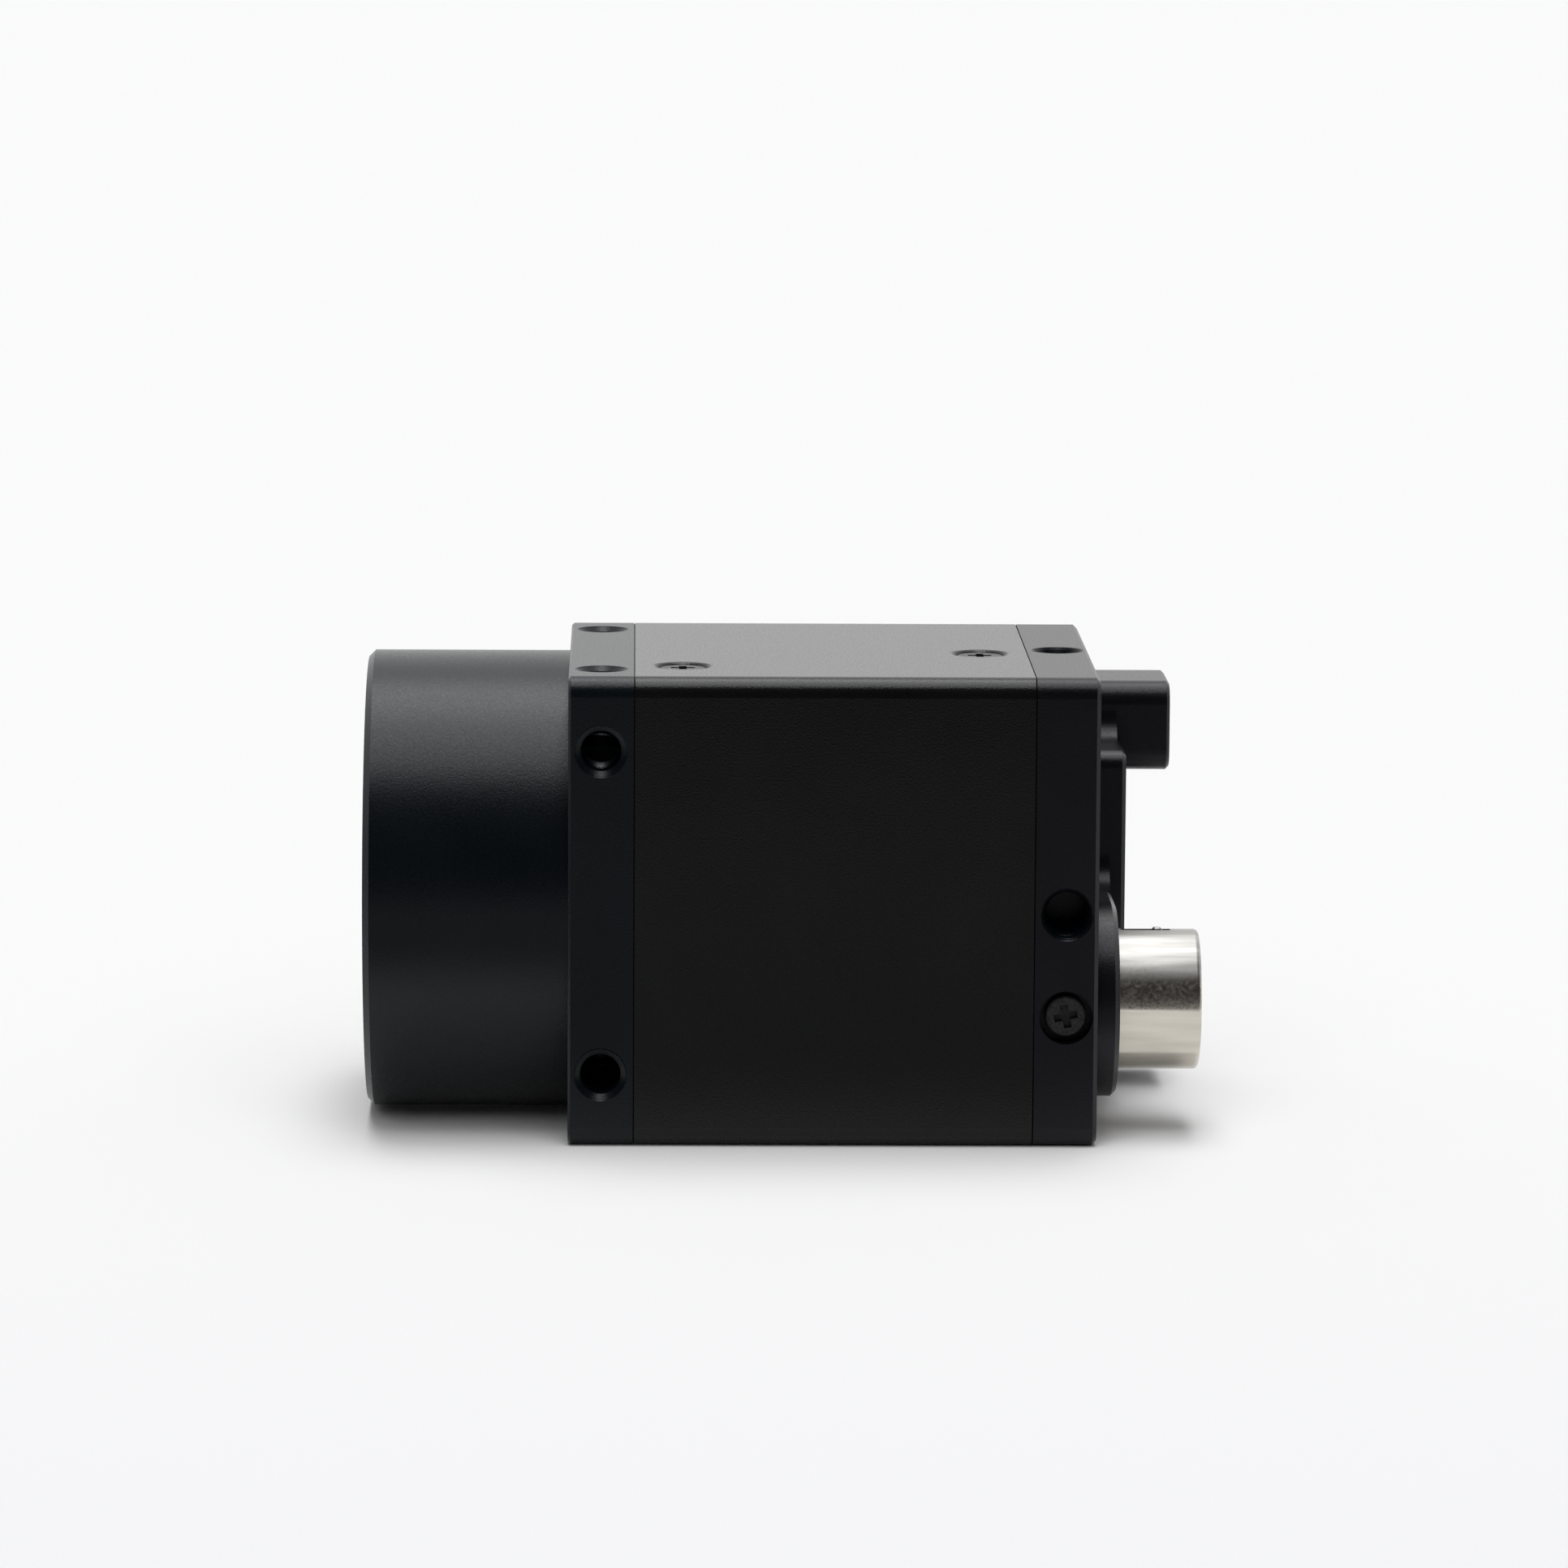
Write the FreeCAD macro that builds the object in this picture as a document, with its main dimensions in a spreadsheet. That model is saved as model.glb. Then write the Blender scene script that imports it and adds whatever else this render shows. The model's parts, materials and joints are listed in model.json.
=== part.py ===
import FreeCAD, Part
import math
import os
import Sketcher

# Small camera with a square body, for fitting to a machine.
# Origin: centre of the lens flange on the optical axis. +X runs to the connectors, +Z is up.
# Lengths are in millimetres.

SIZES = {
    # Body
    "corner_radius": 1.2,
    "barrel_wall": 1.6,
    "barrel_edge": 0.2,
    "barrel_chamfer": 0.4,
    "front_plate": 4.0,
    "seam_before_board": 2.1,
    "rear_room": 9.3,
    "front_chamfer": 0.15,
    "cover_wall": 1.5,
    "cover_inner_radius": 0.6,
    "cover_end_chamfer": 0.08,
    "rear_plate": 3.9,
    "rear_chamfer": 0.25,
    # Spigots that fit inside the cover
    "spigot_length": 5.0,
    "spigot_wall": 2.0,
    "spigot_gap": 0.1,
    # Lens mount, 25.4 mm thread
    "lens_thread_radius": 12.7,
    "lens_thread_depth": 5.4,
    "lens_mouth_chamfer": 0.4,
    "lens_relief_step": 0.5,
    "lens_relief_depth": 9.0,
    "flange_distance": 17.526,
    # Filter behind the lens
    "ring_bore_step": 1.6,
    "filter_seat_depth": 12.0,
    "filter_lip": 2.0,
    "filter_window_depth": 14.4,
    "filter_gap": 0.2,
    "filter_thickness": 1.0,
    "filter_gasket_thickness": 0.3,
    "filter_gasket_width": 1.5,
    "ring_gap": 0.1,
    "ring_thickness": 1.5,
    "ring_width": 1.3,
    "ring_notch_width": 1.6,
    "ring_notch_depth": 0.8,
    # Threaded holes in the sides
    "side_hole_radius": 1.5,
    "side_hole_mouth_radius": 1.65,
    "side_hole_pitch": 20.0,
    "front_hole_depth": 5.0,
    "rear_hole_depth": 4.5,
    # Cross screws of the cover
    "cover_screw_inset": 3.0,
    "front_screw_side": 8.3,
    "rear_screw_side": 1.7,
    "screw_head_radius": 1.45,
    "screw_head_height": 0.6,
    "screw_head_rim": 0.15,
    "screw_head_sink": 0.12,
    "screw_shank_radius": 0.95,
    "screw_hole_gap": 0.05,
    "screw_seat_gap": 0.1,
    "screw_seat_rounding": 0.4,
    "screw_tip_gap": 0.1,
    "cross_span": 1.46,
    "cross_width": 0.48,
    "cross_depth": 0.45,
    # Screw that holds the round connector
    "lock_head_radius": 1.275,
    "lock_head_height": 0.9,
    "lock_head_sink": 0.6,
    "lock_seat_gap": 0.375,
    "lock_turn": 12.0,
    # Image sensor
    "sensor_room_step": 0.2,
    "sensor_width": 14.0,
    "sensor_height": 12.0,
    "sensor_thickness": 2.0,
    "sensor_rim": 1.2,
    "sensor_floor": 0.774,
    "die_width": 8.6,
    "die_height": 7.0,
    "die_thickness": 0.4,
    "cover_glass_thickness": 0.7,
    "cover_glass_margin": 0.5,
    # Circuit boards
    "sensor_board_gap": 0.2,
    "sensor_board_thickness": 1.6,
    "inner_board_gap": 1.0,
    "processor_board_thickness": 1.2,
    "interface_board_thickness": 1.6,
    "board_hole_inset": 1.6,
    "board_hole_radius": 0.85,
    "stud_radius": 0.75,
    "stud_hole_radius": 0.8,
    "stud_length": 3.5,
    "stud_hole_gap": 0.3,
    "standoff_radius": 1.4,
    "front_standoff_length": 4.0,
    "rear_standoff_length": 4.8,
    "board_screw_head": 0.8,
    # Parts on the boards
    "processor_side": 13.0,
    "processor_thickness": 1.5,
    "thermal_pad_side": 11.0,
    "thermal_pad_thickness": 0.5,
    "spreader_thickness": 0.6,
    "spreader_width": 12.0,
    "spreader_flange": 6.0,
    "link_place": 9.1,
    "link_width": 2.6,
    "link_length": 11.0,
    "memory_width": 7.0,
    "memory_height": 5.0,
    "memory_thickness": 1.0,
    "memory_pitch": 9.0,
    "memory_side": 3.5,
    "coil_side": 4.0,
    "coil_height": 2.0,
    "coil_pitch": 6.0,
    "coil_place": 4.0,
    "transformer_width": 7.5,
    "transformer_height": 10.0,
    "transformer_thickness": 2.6,
    "transformer_place": 6.0,
    "led_side": 1.6,
    "led_thickness": 0.8,
    # Light pipe for the status light
    "light_side": 4.5,
    "light_inset": 6.0,
    "light_radius": 0.95,
    "light_hole_gap": 0.05,
    "light_collar_radius": 1.5,
    "light_collar_length": 1.0,
    "light_end_sink": 0.05,
    "light_led_gap": 0.2,
    # Data port
    "port_pad_margin": 1.1,
    "port_pad_inset": 0.5,
    "port_pad_half_width": 8.1,
    "port_pad_height": 2.45,
    "port_pad_corner": 1.0,
    "port_pad_chamfer": 0.25,
    "port_inset": 2.3,
    "port_height": 11.6,
    "port_half_width": 7.8,
    "port_pocket_gap": 0.1,
    "port_skin": 0.5,
    "port_front_gap": 0.05,
    "port_mouth_half_width": 5.95,
    "port_mouth_margin": 0.8,
    "port_sheet": 0.3,
    "plug_half_width": 5.9,
    "plug_bottom": 1.8,
    "plug_height": 6.8,
    "plug_depth": 11.0,
    "latch_half_width": 3.1,
    "latch_height": 1.7,
    "contact_pitch": 1.02,
    "contact_width": 0.45,
    "contact_thickness": 0.25,
    "contact_reach": 9.5,
    "contact_slope": 6.5,
    "contact_rise": 1.9,
    # Horns beside the data port
    "horn_width": 7.9,
    "horn_inner": 5.95,
    "horn_outer": 11.65,
    "horn_height": 5.6,
    "horn_radius": 1.4,
    "horn_chamfer": 0.2,
    "horn_cove": 1.8,
    "horn_hole_radius": 1.0,
    "horn_hole_mouth_radius": 1.15,
    "horn_hole_depth": 5.0,
    # Round connector
    "round_side_inset": 7.2,
    "round_bottom_inset": 8.1,
    "round_pad_radius": 6.05,
    "round_pad_height": 1.45,
    "round_pad_chamfer": 0.3,
    "round_pad_cove": 2.0,
    "round_radius": 4.35,
    "round_length": 6.6,
    "round_neck_step": 0.35,
    "round_edge": 0.3,
    "round_hole_gap": 0.15,
    "round_inner_radius": 3.15,
    "round_mouth_depth": 5.0,
    "round_flat": 3.63,
    "round_flat_angle": 41.5,
    "round_flange_radius": 4.9,
    "round_flange_length": 1.5,
    "round_relief_gap": 0.1,
    "round_gasket_thickness": 0.3,
    "round_slot_start": 1.9,
    "round_slot_length": 3.0,
    "round_slot_width": 1.3,
    "insert_gap": 0.05,
    "insert_length": 10.7,
    "pin_radius": 0.35,
    "pin_gap": 0.03,
    "pin_ring_radius": 1.9,
    "pin_count": 6,
    "pin_reach": 4.0,
}

doc = FreeCAD.newDocument("machine_camera")
sheet = doc.addObject("Spreadsheet::Sheet", "Dim")
for row, (alias, value) in enumerate(SIZES.items(), start=1):
    sheet.set("A%d" % row, alias)
    sheet.set("B%d" % row, str(value))
    sheet.setAlias("B%d" % row, alias)
doc.recompute()

# Places that several pieces share
barrel_outer = "(Dim.lens_thread_radius + Dim.barrel_wall)"
half_side = f"({barrel_outer} + Dim.barrel_edge)"
lens_relief = "(Dim.lens_thread_radius - Dim.lens_relief_step)"
ring_bore = f"({lens_relief} - Dim.ring_bore_step)"
filter_window = f"({ring_bore} - Dim.filter_lip)"
filter_edge = f"({ring_bore} - Dim.filter_gap)"
sensor_room = f"({ring_bore} - Dim.sensor_room_step)"
cover_inner = f"({half_side} - Dim.cover_wall)"
spigot_outer = f"({cover_inner} - Dim.spigot_gap)"
spigot_inner = f"({spigot_outer} - Dim.spigot_wall)"
die_back = "(Dim.flange_distance + Dim.die_thickness)"
sensor_board_front = f"({die_back} + Dim.sensor_floor)"
sensor_board_back = f"({sensor_board_front} + Dim.sensor_board_thickness)"
processor_board_front = f"({sensor_board_back} + Dim.front_standoff_length)"
processor_board_back = f"({processor_board_front} + Dim.processor_board_thickness)"
interface_board_front = f"({processor_board_back} + Dim.rear_standoff_length)"
interface_board_back = f"({interface_board_front} + Dim.interface_board_thickness)"
front_seam = f"({sensor_board_front} - Dim.seam_before_board)"
plate_front = f"({front_seam} - Dim.front_plate)"
rear_seam = f"({interface_board_back} + Dim.rear_room)"
rear_face = f"({rear_seam} + Dim.rear_plate)"
front_hole_x = f"({plate_front} + Dim.front_plate / 2)"
rear_hole_x = f"({rear_seam} + Dim.rear_plate / 2)"
inner_board_half = f"({cover_inner} - Dim.inner_board_gap)"
board_hole_place = f"({spigot_inner} - Dim.board_hole_inset)"
port_front = f"({rear_face} - Dim.port_skin - Dim.port_front_gap)"
port_far = f"({half_side} - Dim.port_inset)"
port_near = f"({port_far} - Dim.port_height)"
port_pad_near = f"({port_near} - Dim.port_pad_margin)"
port_pad_far = f"({half_side} - Dim.port_pad_inset)"
horn_near = f"({port_pad_far} - Dim.horn_width)"
plug_floor = f"({port_near} + Dim.plug_bottom)"
plug_ceiling = f"({plug_floor} + Dim.plug_height)"
plug_back = f"({port_front} - Dim.port_sheet - Dim.plug_depth)"
light_rise = f"({half_side} - Dim.light_inset)"
round_side = f"({half_side} - Dim.round_side_inset)"
round_drop = f"({half_side} - Dim.round_bottom_inset)"
pad_face = f"({rear_face} + Dim.round_pad_height)"
shell_end = f"({rear_face} + Dim.round_length)"
insert_front = f"({shell_end} - Dim.round_mouth_depth)"
screw_seat = f"({half_side} - Dim.screw_head_sink - Dim.screw_head_height)"


def number(text):
    """The present value of an expression over the sheet."""
    value = sheet.evalExpression(text)
    return float(getattr(value, "Value", value))


def new_body(name):
    body = doc.addObject("PartDesign::Body", name)
    body.Label = name
    body.AllowCompound = True
    return body


def origin_part(body, role):
    """One of the body's own planes or axes."""
    return [part for part in body.Origin.OriginFeatures if part.Role == role][0]


def new_sketch(body, role, offset="0"):
    """A sketch on one of the body's own planes, moved along the plane's normal."""
    plane = origin_part(body, role)
    sketch = body.newObject("Sketcher::SketchObject", body.Name + "_sketch")
    sketch.AttachmentSupport = [(plane, "")]
    sketch.MapMode = "FlatFace"
    sketch.setExpression("AttachmentOffset.Base.z", offset)
    return sketch


def tie_distance(sketch, kind, shape, end, text):
    """Hold a point of the sketch at an expression along one direction, measured from the origin."""
    value = number(text)
    if value < 0:
        held = Sketcher.Constraint(kind, shape, end, -1, 1, -value)
        text = f"-({text})"
    else:
        held = Sketcher.Constraint(kind, -1, 1, shape, end, value)
    index = sketch.addConstraint(held)
    sketch.setExpression(f"Constraints[{index}]", text)


def tie_point(sketch, shape, end, across, up):
    tie_distance(sketch, "DistanceX", shape, end, across)
    tie_distance(sketch, "DistanceY", shape, end, up)


def draw_polygon(sketch, corners):
    points = [FreeCAD.Vector(number(across), number(up), 0) for across, up in corners]
    count = len(points)
    lines = [sketch.addGeometry(Part.LineSegment(points[i], points[(i + 1) % count])) for i in range(count)]
    for i, line in enumerate(lines):
        sketch.addConstraint(Sketcher.Constraint("Coincident", line, 2, lines[(i + 1) % count], 1))
    for line, (across, up) in zip(lines, corners):
        tie_point(sketch, line, 1, across, up)


def draw_rectangle(sketch, left, right, low, high):
    draw_polygon(sketch, [(left, low), (right, low), (right, high), (left, high)])


def draw_rounded_rectangle(sketch, left, right, low, high, radius):
    """Rectangle with four round corners."""
    x_left, x_right = f"({left}) + {radius}", f"({right}) - {radius}"
    y_low, y_high = f"({low}) + {radius}", f"({high}) - {radius}"
    ends = [
        ((x_left, low), (x_right, low)),
        ((right, y_low), (right, y_high)),
        ((x_right, high), (x_left, high)),
        ((left, y_high), (left, y_low)),
    ]
    centres = [(x_right, y_low), (x_right, y_high), (x_left, y_high), (x_left, y_low)]
    lines = []
    for pair in ends:
        start, stop = [FreeCAD.Vector(number(a), number(b), 0) for a, b in pair]
        lines.append(sketch.addGeometry(Part.LineSegment(start, stop)))
    for index, centre in enumerate(centres):
        close_arc(sketch, lines[index], lines[(index + 1) % 4], centre)
    for line, (start, stop) in zip(lines, ends):
        tie_point(sketch, line, 1, *start)
        tie_point(sketch, line, 2, *stop)


def draw_square(sketch, half):
    draw_rectangle(sketch, f"-{half}", half, f"-{half}", half)


def draw_cove(sketch, across, up, radius, aside, above):
    """Fill of an inside corner, with a round face. The two signs say where it lies from the corner."""
    corner = (across, up)
    beside = (f"{across} + {aside} * {radius}", up)
    over = (across, f"{up} + {above} * {radius}")
    spots = [FreeCAD.Vector(number(a), number(b), 0) for a, b in (over, corner, beside)]
    first = sketch.addGeometry(Part.LineSegment(spots[0], spots[1]))
    second = sketch.addGeometry(Part.LineSegment(spots[1], spots[2]))
    sketch.addConstraint(Sketcher.Constraint("Coincident", first, 2, second, 1))
    close_arc(sketch, second, first, (beside[0], over[1]))
    tie_point(sketch, first, 1, *over)
    tie_point(sketch, second, 1, *corner)
    tie_point(sketch, second, 2, *beside)


def close_arc(sketch, line_before, line_after, centre, turn_angle=90):
    """Arc from the end of one line to the start of another, about a centre, over this angle."""
    middle = FreeCAD.Vector(number(centre[0]), number(centre[1]), 0)
    start = sketch.Geometry[line_before].EndPoint - middle
    stop = sketch.Geometry[line_after].StartPoint - middle
    from_angle, to_angle = math.atan2(start.y, start.x), math.atan2(stop.y, stop.x)
    leftwards = abs((to_angle - from_angle) % (2 * math.pi) - math.radians(turn_angle)) < 0.01
    first = from_angle if leftwards else to_angle
    circle = Part.Circle(middle, FreeCAD.Vector(0, 0, 1), start.Length)
    arc = sketch.addGeometry(Part.ArcOfCircle(circle, first, first + math.radians(turn_angle)))
    near, far = (1, 2) if leftwards else (2, 1)
    sketch.addConstraint(Sketcher.Constraint("Coincident", line_before, 2, arc, near))
    sketch.addConstraint(Sketcher.Constraint("Coincident", arc, far, line_after, 1))
    tie_distance(sketch, "DistanceX", arc, 3, centre[0])


def draw_circle(sketch, across, up, radius):
    centre = FreeCAD.Vector(number(across), number(up), 0)
    circle = sketch.addGeometry(Part.Circle(centre, FreeCAD.Vector(0, 0, 1), number(radius)))
    tie_point(sketch, circle, 3, across, up)
    index = sketch.addConstraint(Sketcher.Constraint("Radius", circle, number(radius)))
    sketch.setExpression(f"Constraints[{index}]", radius)


def extrude(body, kind, sketch, length, backwards=False):
    feature = body.newObject("PartDesign::" + kind, f"{body.Name}_{kind}")
    feature.Profile = sketch
    feature.setExpression("Length", length)
    feature.Reversed = backwards
    doc.recompute()
    return feature


def pad(body, sketch, length):
    return extrude(body, "Pad", sketch, length)


def cut(body, sketch, length, backwards=False):
    """A pocket, which has to take something away."""
    before = body.Tip.Shape.Volume
    feature = extrude(body, "Pocket", sketch, length, backwards)
    if not feature.Shape.Volume < before - 1e-6:
        raise RuntimeError(feature.Name + " cuts nothing")
    return feature


def turn(body, sketch, kind="Revolution"):
    """Turn a sketch about its own level axis."""
    feature = body.newObject("PartDesign::" + kind, f"{body.Name}_{kind}")
    feature.Profile = sketch
    feature.ReferenceAxis = (sketch, ["H_Axis"])
    feature.Angle = 360
    doc.recompute()
    return feature


def drill(body, sketch, radius, mouth_radius, depth):
    """Holes with a countersunk mouth, one at each circle of the sketch."""
    doc.recompute()
    before = body.Tip.Shape.Volume
    hole = body.newObject("PartDesign::Hole", body.Name + "_Hole")
    hole.Profile = sketch
    hole.ThreadType = "None"
    hole.DepthType = "Dimension"
    hole.DrillPoint = "Flat"
    hole.HoleCutType = "Countersink"
    hole.HoleCutCustomValues = True
    hole.HoleCutCountersinkAngle = 90
    hole.setExpression("Diameter", f"2 * {radius}")
    hole.setExpression("HoleCutDiameter", f"2 * {mouth_radius}")
    hole.setExpression("Depth", depth)
    doc.recompute()
    if not hole.Shape.Volume < before - 1e-6:
        raise RuntimeError(hole.Name + " cuts nothing")
    return hole


def soften(body, kind, size, chosen):
    """Fillet or chamfer those edges of the body for which the function says yes."""
    base = body.Tip
    names = [f"Edge{i}" for i, edge in enumerate(base.Shape.Edges, start=1) if chosen(edge)]
    if not names:
        raise RuntimeError(f"{body.Name} has no edge for its {kind} on {base.Name}, {base.State}")
    feature = body.newObject("PartDesign::" + kind, f"{body.Name}_{kind}")
    feature.Base = (base, names)
    feature.setExpression("Radius" if kind == "Fillet" else "Size", size)
    doc.recompute()
    return feature


def is_along_x(edge):
    first, last = edge.Vertexes[0].Point, edge.Vertexes[-1].Point
    straight = isinstance(edge.Curve, Part.Line)
    return straight and abs(first.y - last.y) < 1e-6 and abs(first.z - last.z) < 1e-6


def lies_at(edge, axis, place):
    """Whether the whole edge lies in the plane at this place along the axis."""
    box = edge.BoundBox
    low, high = getattr(box, axis + "Min"), getattr(box, axis + "Max")
    return abs(low - place) < 1e-4 and abs(high - place) < 1e-4


def is_circle_of(edge, radius):
    return isinstance(edge.Curve, Part.Circle) and abs(edge.Curve.Radius - radius) < 1e-4


def new_box(name, low, high):
    """A block between two corners."""
    block = doc.addObject("Part::Box", name)
    block.Label = name
    for side, axis, start, stop in zip(("Length", "Width", "Height"), "xyz", low, high):
        block.setExpression(side, f"({stop}) - ({start})")
        block.setExpression("Placement.Base." + axis, start)
    return block


def new_group(name, members):
    group = doc.addObject("Part::Compound", name)
    group.Label = name
    group.Links = members
    return group


def corner_places(place):
    return [(f"{a} * {place}", f"{b} * {place}") for a in (-1, 1) for b in (-1, 1)]


def rounded_block(body, start, length, half, radius):
    """A square block about the optical axis, with its long edges rounded."""
    outline = new_sketch(body, "YZ_Plane", start)
    draw_square(outline, half)
    pad(body, outline, length)
    soften(body, "Fillet", radius, is_along_x)


def make_front_housing():
    """Lens barrel, front plate and spigot, milled from one block."""
    body = new_body("front_housing")
    rounded_block(body, plate_front, "Dim.front_plate", half_side, "Dim.corner_radius")

    barrel = new_sketch(body, "YZ_Plane")
    draw_circle(barrel, "0", "0", barrel_outer)
    pad(body, barrel, plate_front)

    spigot = new_sketch(body, "YZ_Plane", front_seam)
    draw_square(spigot, spigot_outer)
    pad(body, spigot, "Dim.spigot_length")
    edge_places = number(spigot_outer)
    soften(
        body, "Fillet", "Dim.cover_inner_radius",
        lambda edge: is_along_x(edge) and abs(abs(edge.Vertexes[0].Y) - edge_places) < 1e-4
        and abs(abs(edge.Vertexes[0].Z) - edge_places) < 1e-4,
    )

    bore = new_sketch(body, "XZ_Plane")
    draw_polygon(bore, [
        ("0", "0"),
        ("0", "Dim.lens_thread_radius + Dim.lens_mouth_chamfer"),
        ("Dim.lens_mouth_chamfer", "Dim.lens_thread_radius"),
        ("Dim.lens_thread_depth", "Dim.lens_thread_radius"),
        ("Dim.lens_thread_depth", lens_relief),
        ("Dim.lens_relief_depth", lens_relief),
        ("Dim.lens_relief_depth", ring_bore),
        ("Dim.filter_seat_depth", ring_bore),
        ("Dim.filter_seat_depth", filter_window),
        ("Dim.filter_window_depth", filter_window),
        ("Dim.filter_window_depth", sensor_room),
        (sensor_board_front, sensor_room),
        (sensor_board_front, "0"),
    ])
    turn(body, bore, "Groove")

    board_room = new_sketch(body, "YZ_Plane", sensor_board_front)
    draw_square(board_room, spigot_inner)
    cut(body, board_room, f"{front_seam} + Dim.spigot_length - {sensor_board_front}", backwards=True)

    stud_holes = new_sketch(body, "YZ_Plane", sensor_board_front)
    for across, up in corner_places(board_hole_place):
        draw_circle(stud_holes, across, up, "Dim.stud_hole_radius")
    cut(body, stud_holes, "Dim.stud_length - Dim.sensor_board_thickness + Dim.stud_hole_gap")

    side_holes = new_sketch(body, "XZ_Plane", half_side)
    for side in (-1, 1):
        draw_circle(side_holes, front_hole_x, f"{side} * Dim.side_hole_pitch / 2", "Dim.side_hole_radius")
    hole = drill(
        body, side_holes, "Dim.side_hole_radius", "Dim.side_hole_mouth_radius", "Dim.front_hole_depth"
    )
    around = body.newObject("PartDesign::PolarPattern", "front_housing_sides")
    around.Originals = [hole]
    around.Axis = (origin_part(body, "X_Axis"), [""])
    around.Angle = 360
    around.Occurrences = 4
    body.Tip = around
    doc.recompute()

    cut_screw_holes(body, f"{front_seam} + Dim.cover_screw_inset", "-Dim.front_screw_side")
    soften(
        body, "Chamfer", "Dim.barrel_chamfer",
        lambda edge: lies_at(edge, "X", 0) and is_circle_of(edge, number(barrel_outer)),
    )
    shoulder = number(plate_front)
    soften(
        body, "Chamfer", "Dim.front_chamfer",
        lambda edge: lies_at(edge, "X", shoulder) and not is_circle_of(edge, number(barrel_outer)),
    )
    return body


def cut_screw_holes(body, along, across):
    """Holes for one cover screw above and one below, in the walls of a spigot."""
    radius = "Dim.screw_shank_radius + Dim.screw_hole_gap"
    holes = new_sketch(body, "XY_Plane", spigot_inner)
    draw_circle(holes, along, across, radius)
    cut(body, holes, spigot_outer, backwards=True)
    holes = new_sketch(body, "XY_Plane", f"-{spigot_inner}")
    draw_circle(holes, along, across, radius)
    cut(body, holes, spigot_outer)


def make_main_cover():
    """Square sleeve between the two housings, with a round-edged seat for each screw."""
    body = new_body("main_cover")
    rounded_block(body, front_seam, f"{rear_seam} - {front_seam}", half_side, "Dim.corner_radius")
    inside = new_sketch(body, "YZ_Plane", front_seam)
    draw_square(inside, cover_inner)
    cut(body, inside, f"{rear_seam} - {front_seam}", backwards=True)
    inner_place = number(cover_inner)
    soften(
        body, "Fillet", "Dim.cover_inner_radius",
        lambda edge: is_along_x(edge) and abs(abs(edge.Vertexes[0].Y) - inner_place) < 1e-4
        and abs(abs(edge.Vertexes[0].Z) - inner_place) < 1e-4,
    )
    ends = (number(front_seam), number(rear_seam))
    face = number(half_side)
    soften(
        body, "Chamfer", "Dim.cover_end_chamfer",
        lambda edge: any(lies_at(edge, "X", end) for end in ends)
        and max(abs(edge.BoundBox.YMax), abs(edge.BoundBox.YMin), abs(edge.BoundBox.ZMax),
                abs(edge.BoundBox.ZMin)) > face - 1e-4,
    )
    seat_depth = "Dim.screw_head_sink + Dim.screw_head_height"
    for top, backwards in ((half_side, False), (f"-{half_side}", True)):
        seats = new_sketch(body, "XY_Plane", top)
        holes = new_sketch(body, "XY_Plane", top)
        for along, across in cover_screw_places():
            draw_circle(seats, along, across, "Dim.screw_head_radius + Dim.screw_seat_gap")
            draw_circle(holes, along, across, "Dim.screw_shank_radius + Dim.screw_hole_gap")
        cut(body, seats, seat_depth, backwards)
        cut(body, holes, "Dim.cover_wall", backwards)
    rim = number("Dim.screw_head_radius + Dim.screw_seat_gap")
    soften(
        body, "Fillet", "Dim.screw_seat_rounding",
        lambda edge: is_circle_of(edge, rim) and (lies_at(edge, "Z", face) or lies_at(edge, "Z", -face)),
    )
    return body


def cover_screw_places():
    """Place of the front and the rear cover screw, along X and across Y."""
    return [
        (f"{front_seam} + Dim.cover_screw_inset", "-Dim.front_screw_side"),
        (f"{rear_seam} - Dim.cover_screw_inset", "-Dim.rear_screw_side"),
    ]


def make_cross_screw(name, head_radius, head_height, shank_length):
    """A screw on the Z axis with its head's top at the origin and a cross recess."""
    body = new_body(name)
    head = new_sketch(body, "XY_Plane", f"-{head_height}")
    draw_circle(head, "0", "0", head_radius)
    pad(body, head, head_height)
    rim = number(head_radius)
    soften(body, "Fillet", "Dim.screw_head_rim", lambda edge: lies_at(edge, "Z", 0) and is_circle_of(edge, rim))
    shank = new_sketch(body, "XY_Plane", f"-({head_height} + {shank_length})")
    draw_circle(shank, "0", "0", "Dim.screw_shank_radius")
    pad(body, shank, shank_length)
    recess = new_sketch(body, "XY_Plane")
    long, short = "Dim.cross_span / 2", "Dim.cross_width / 2"
    draw_polygon(recess, [
        (long, f"-{short}"), (long, short), (short, short), (short, long),
        (f"-{short}", long), (f"-{short}", short), (f"-{long}", short), (f"-{long}", f"-{short}"),
        (f"-{short}", f"-{short}"), (f"-{short}", f"-{long}"), (short, f"-{long}"), (short, f"-{short}"),
    ])
    cut(body, recess, "Dim.cross_depth")
    return body


def make_cover_screws():
    shank = f"{screw_seat} - {spigot_inner} - Dim.screw_tip_gap"
    pattern = make_cross_screw("cover_screw_pattern", "Dim.screw_head_radius", "Dim.screw_head_height", shank)
    screws = []
    for side, sign in (("top", 1), ("bottom", -1)):
        for along, across in cover_screw_places():
            screw = doc.addObject("App::Link", f"cover_screw_{side}")
            screw.LinkedObject = pattern
            screw.LinkTransform = True
            if sign < 0:
                screw.Placement.Rotation = FreeCAD.Rotation(FreeCAD.Vector(1, 0, 0), 180)
            screw.setExpression("Placement.Base.x", along)
            screw.setExpression("Placement.Base.y", across)
            screw.setExpression("Placement.Base.z", f"{sign} * ({half_side} - Dim.screw_head_sink)")
            screws.append(screw)
    return new_group("cover_screws", screws)


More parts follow.
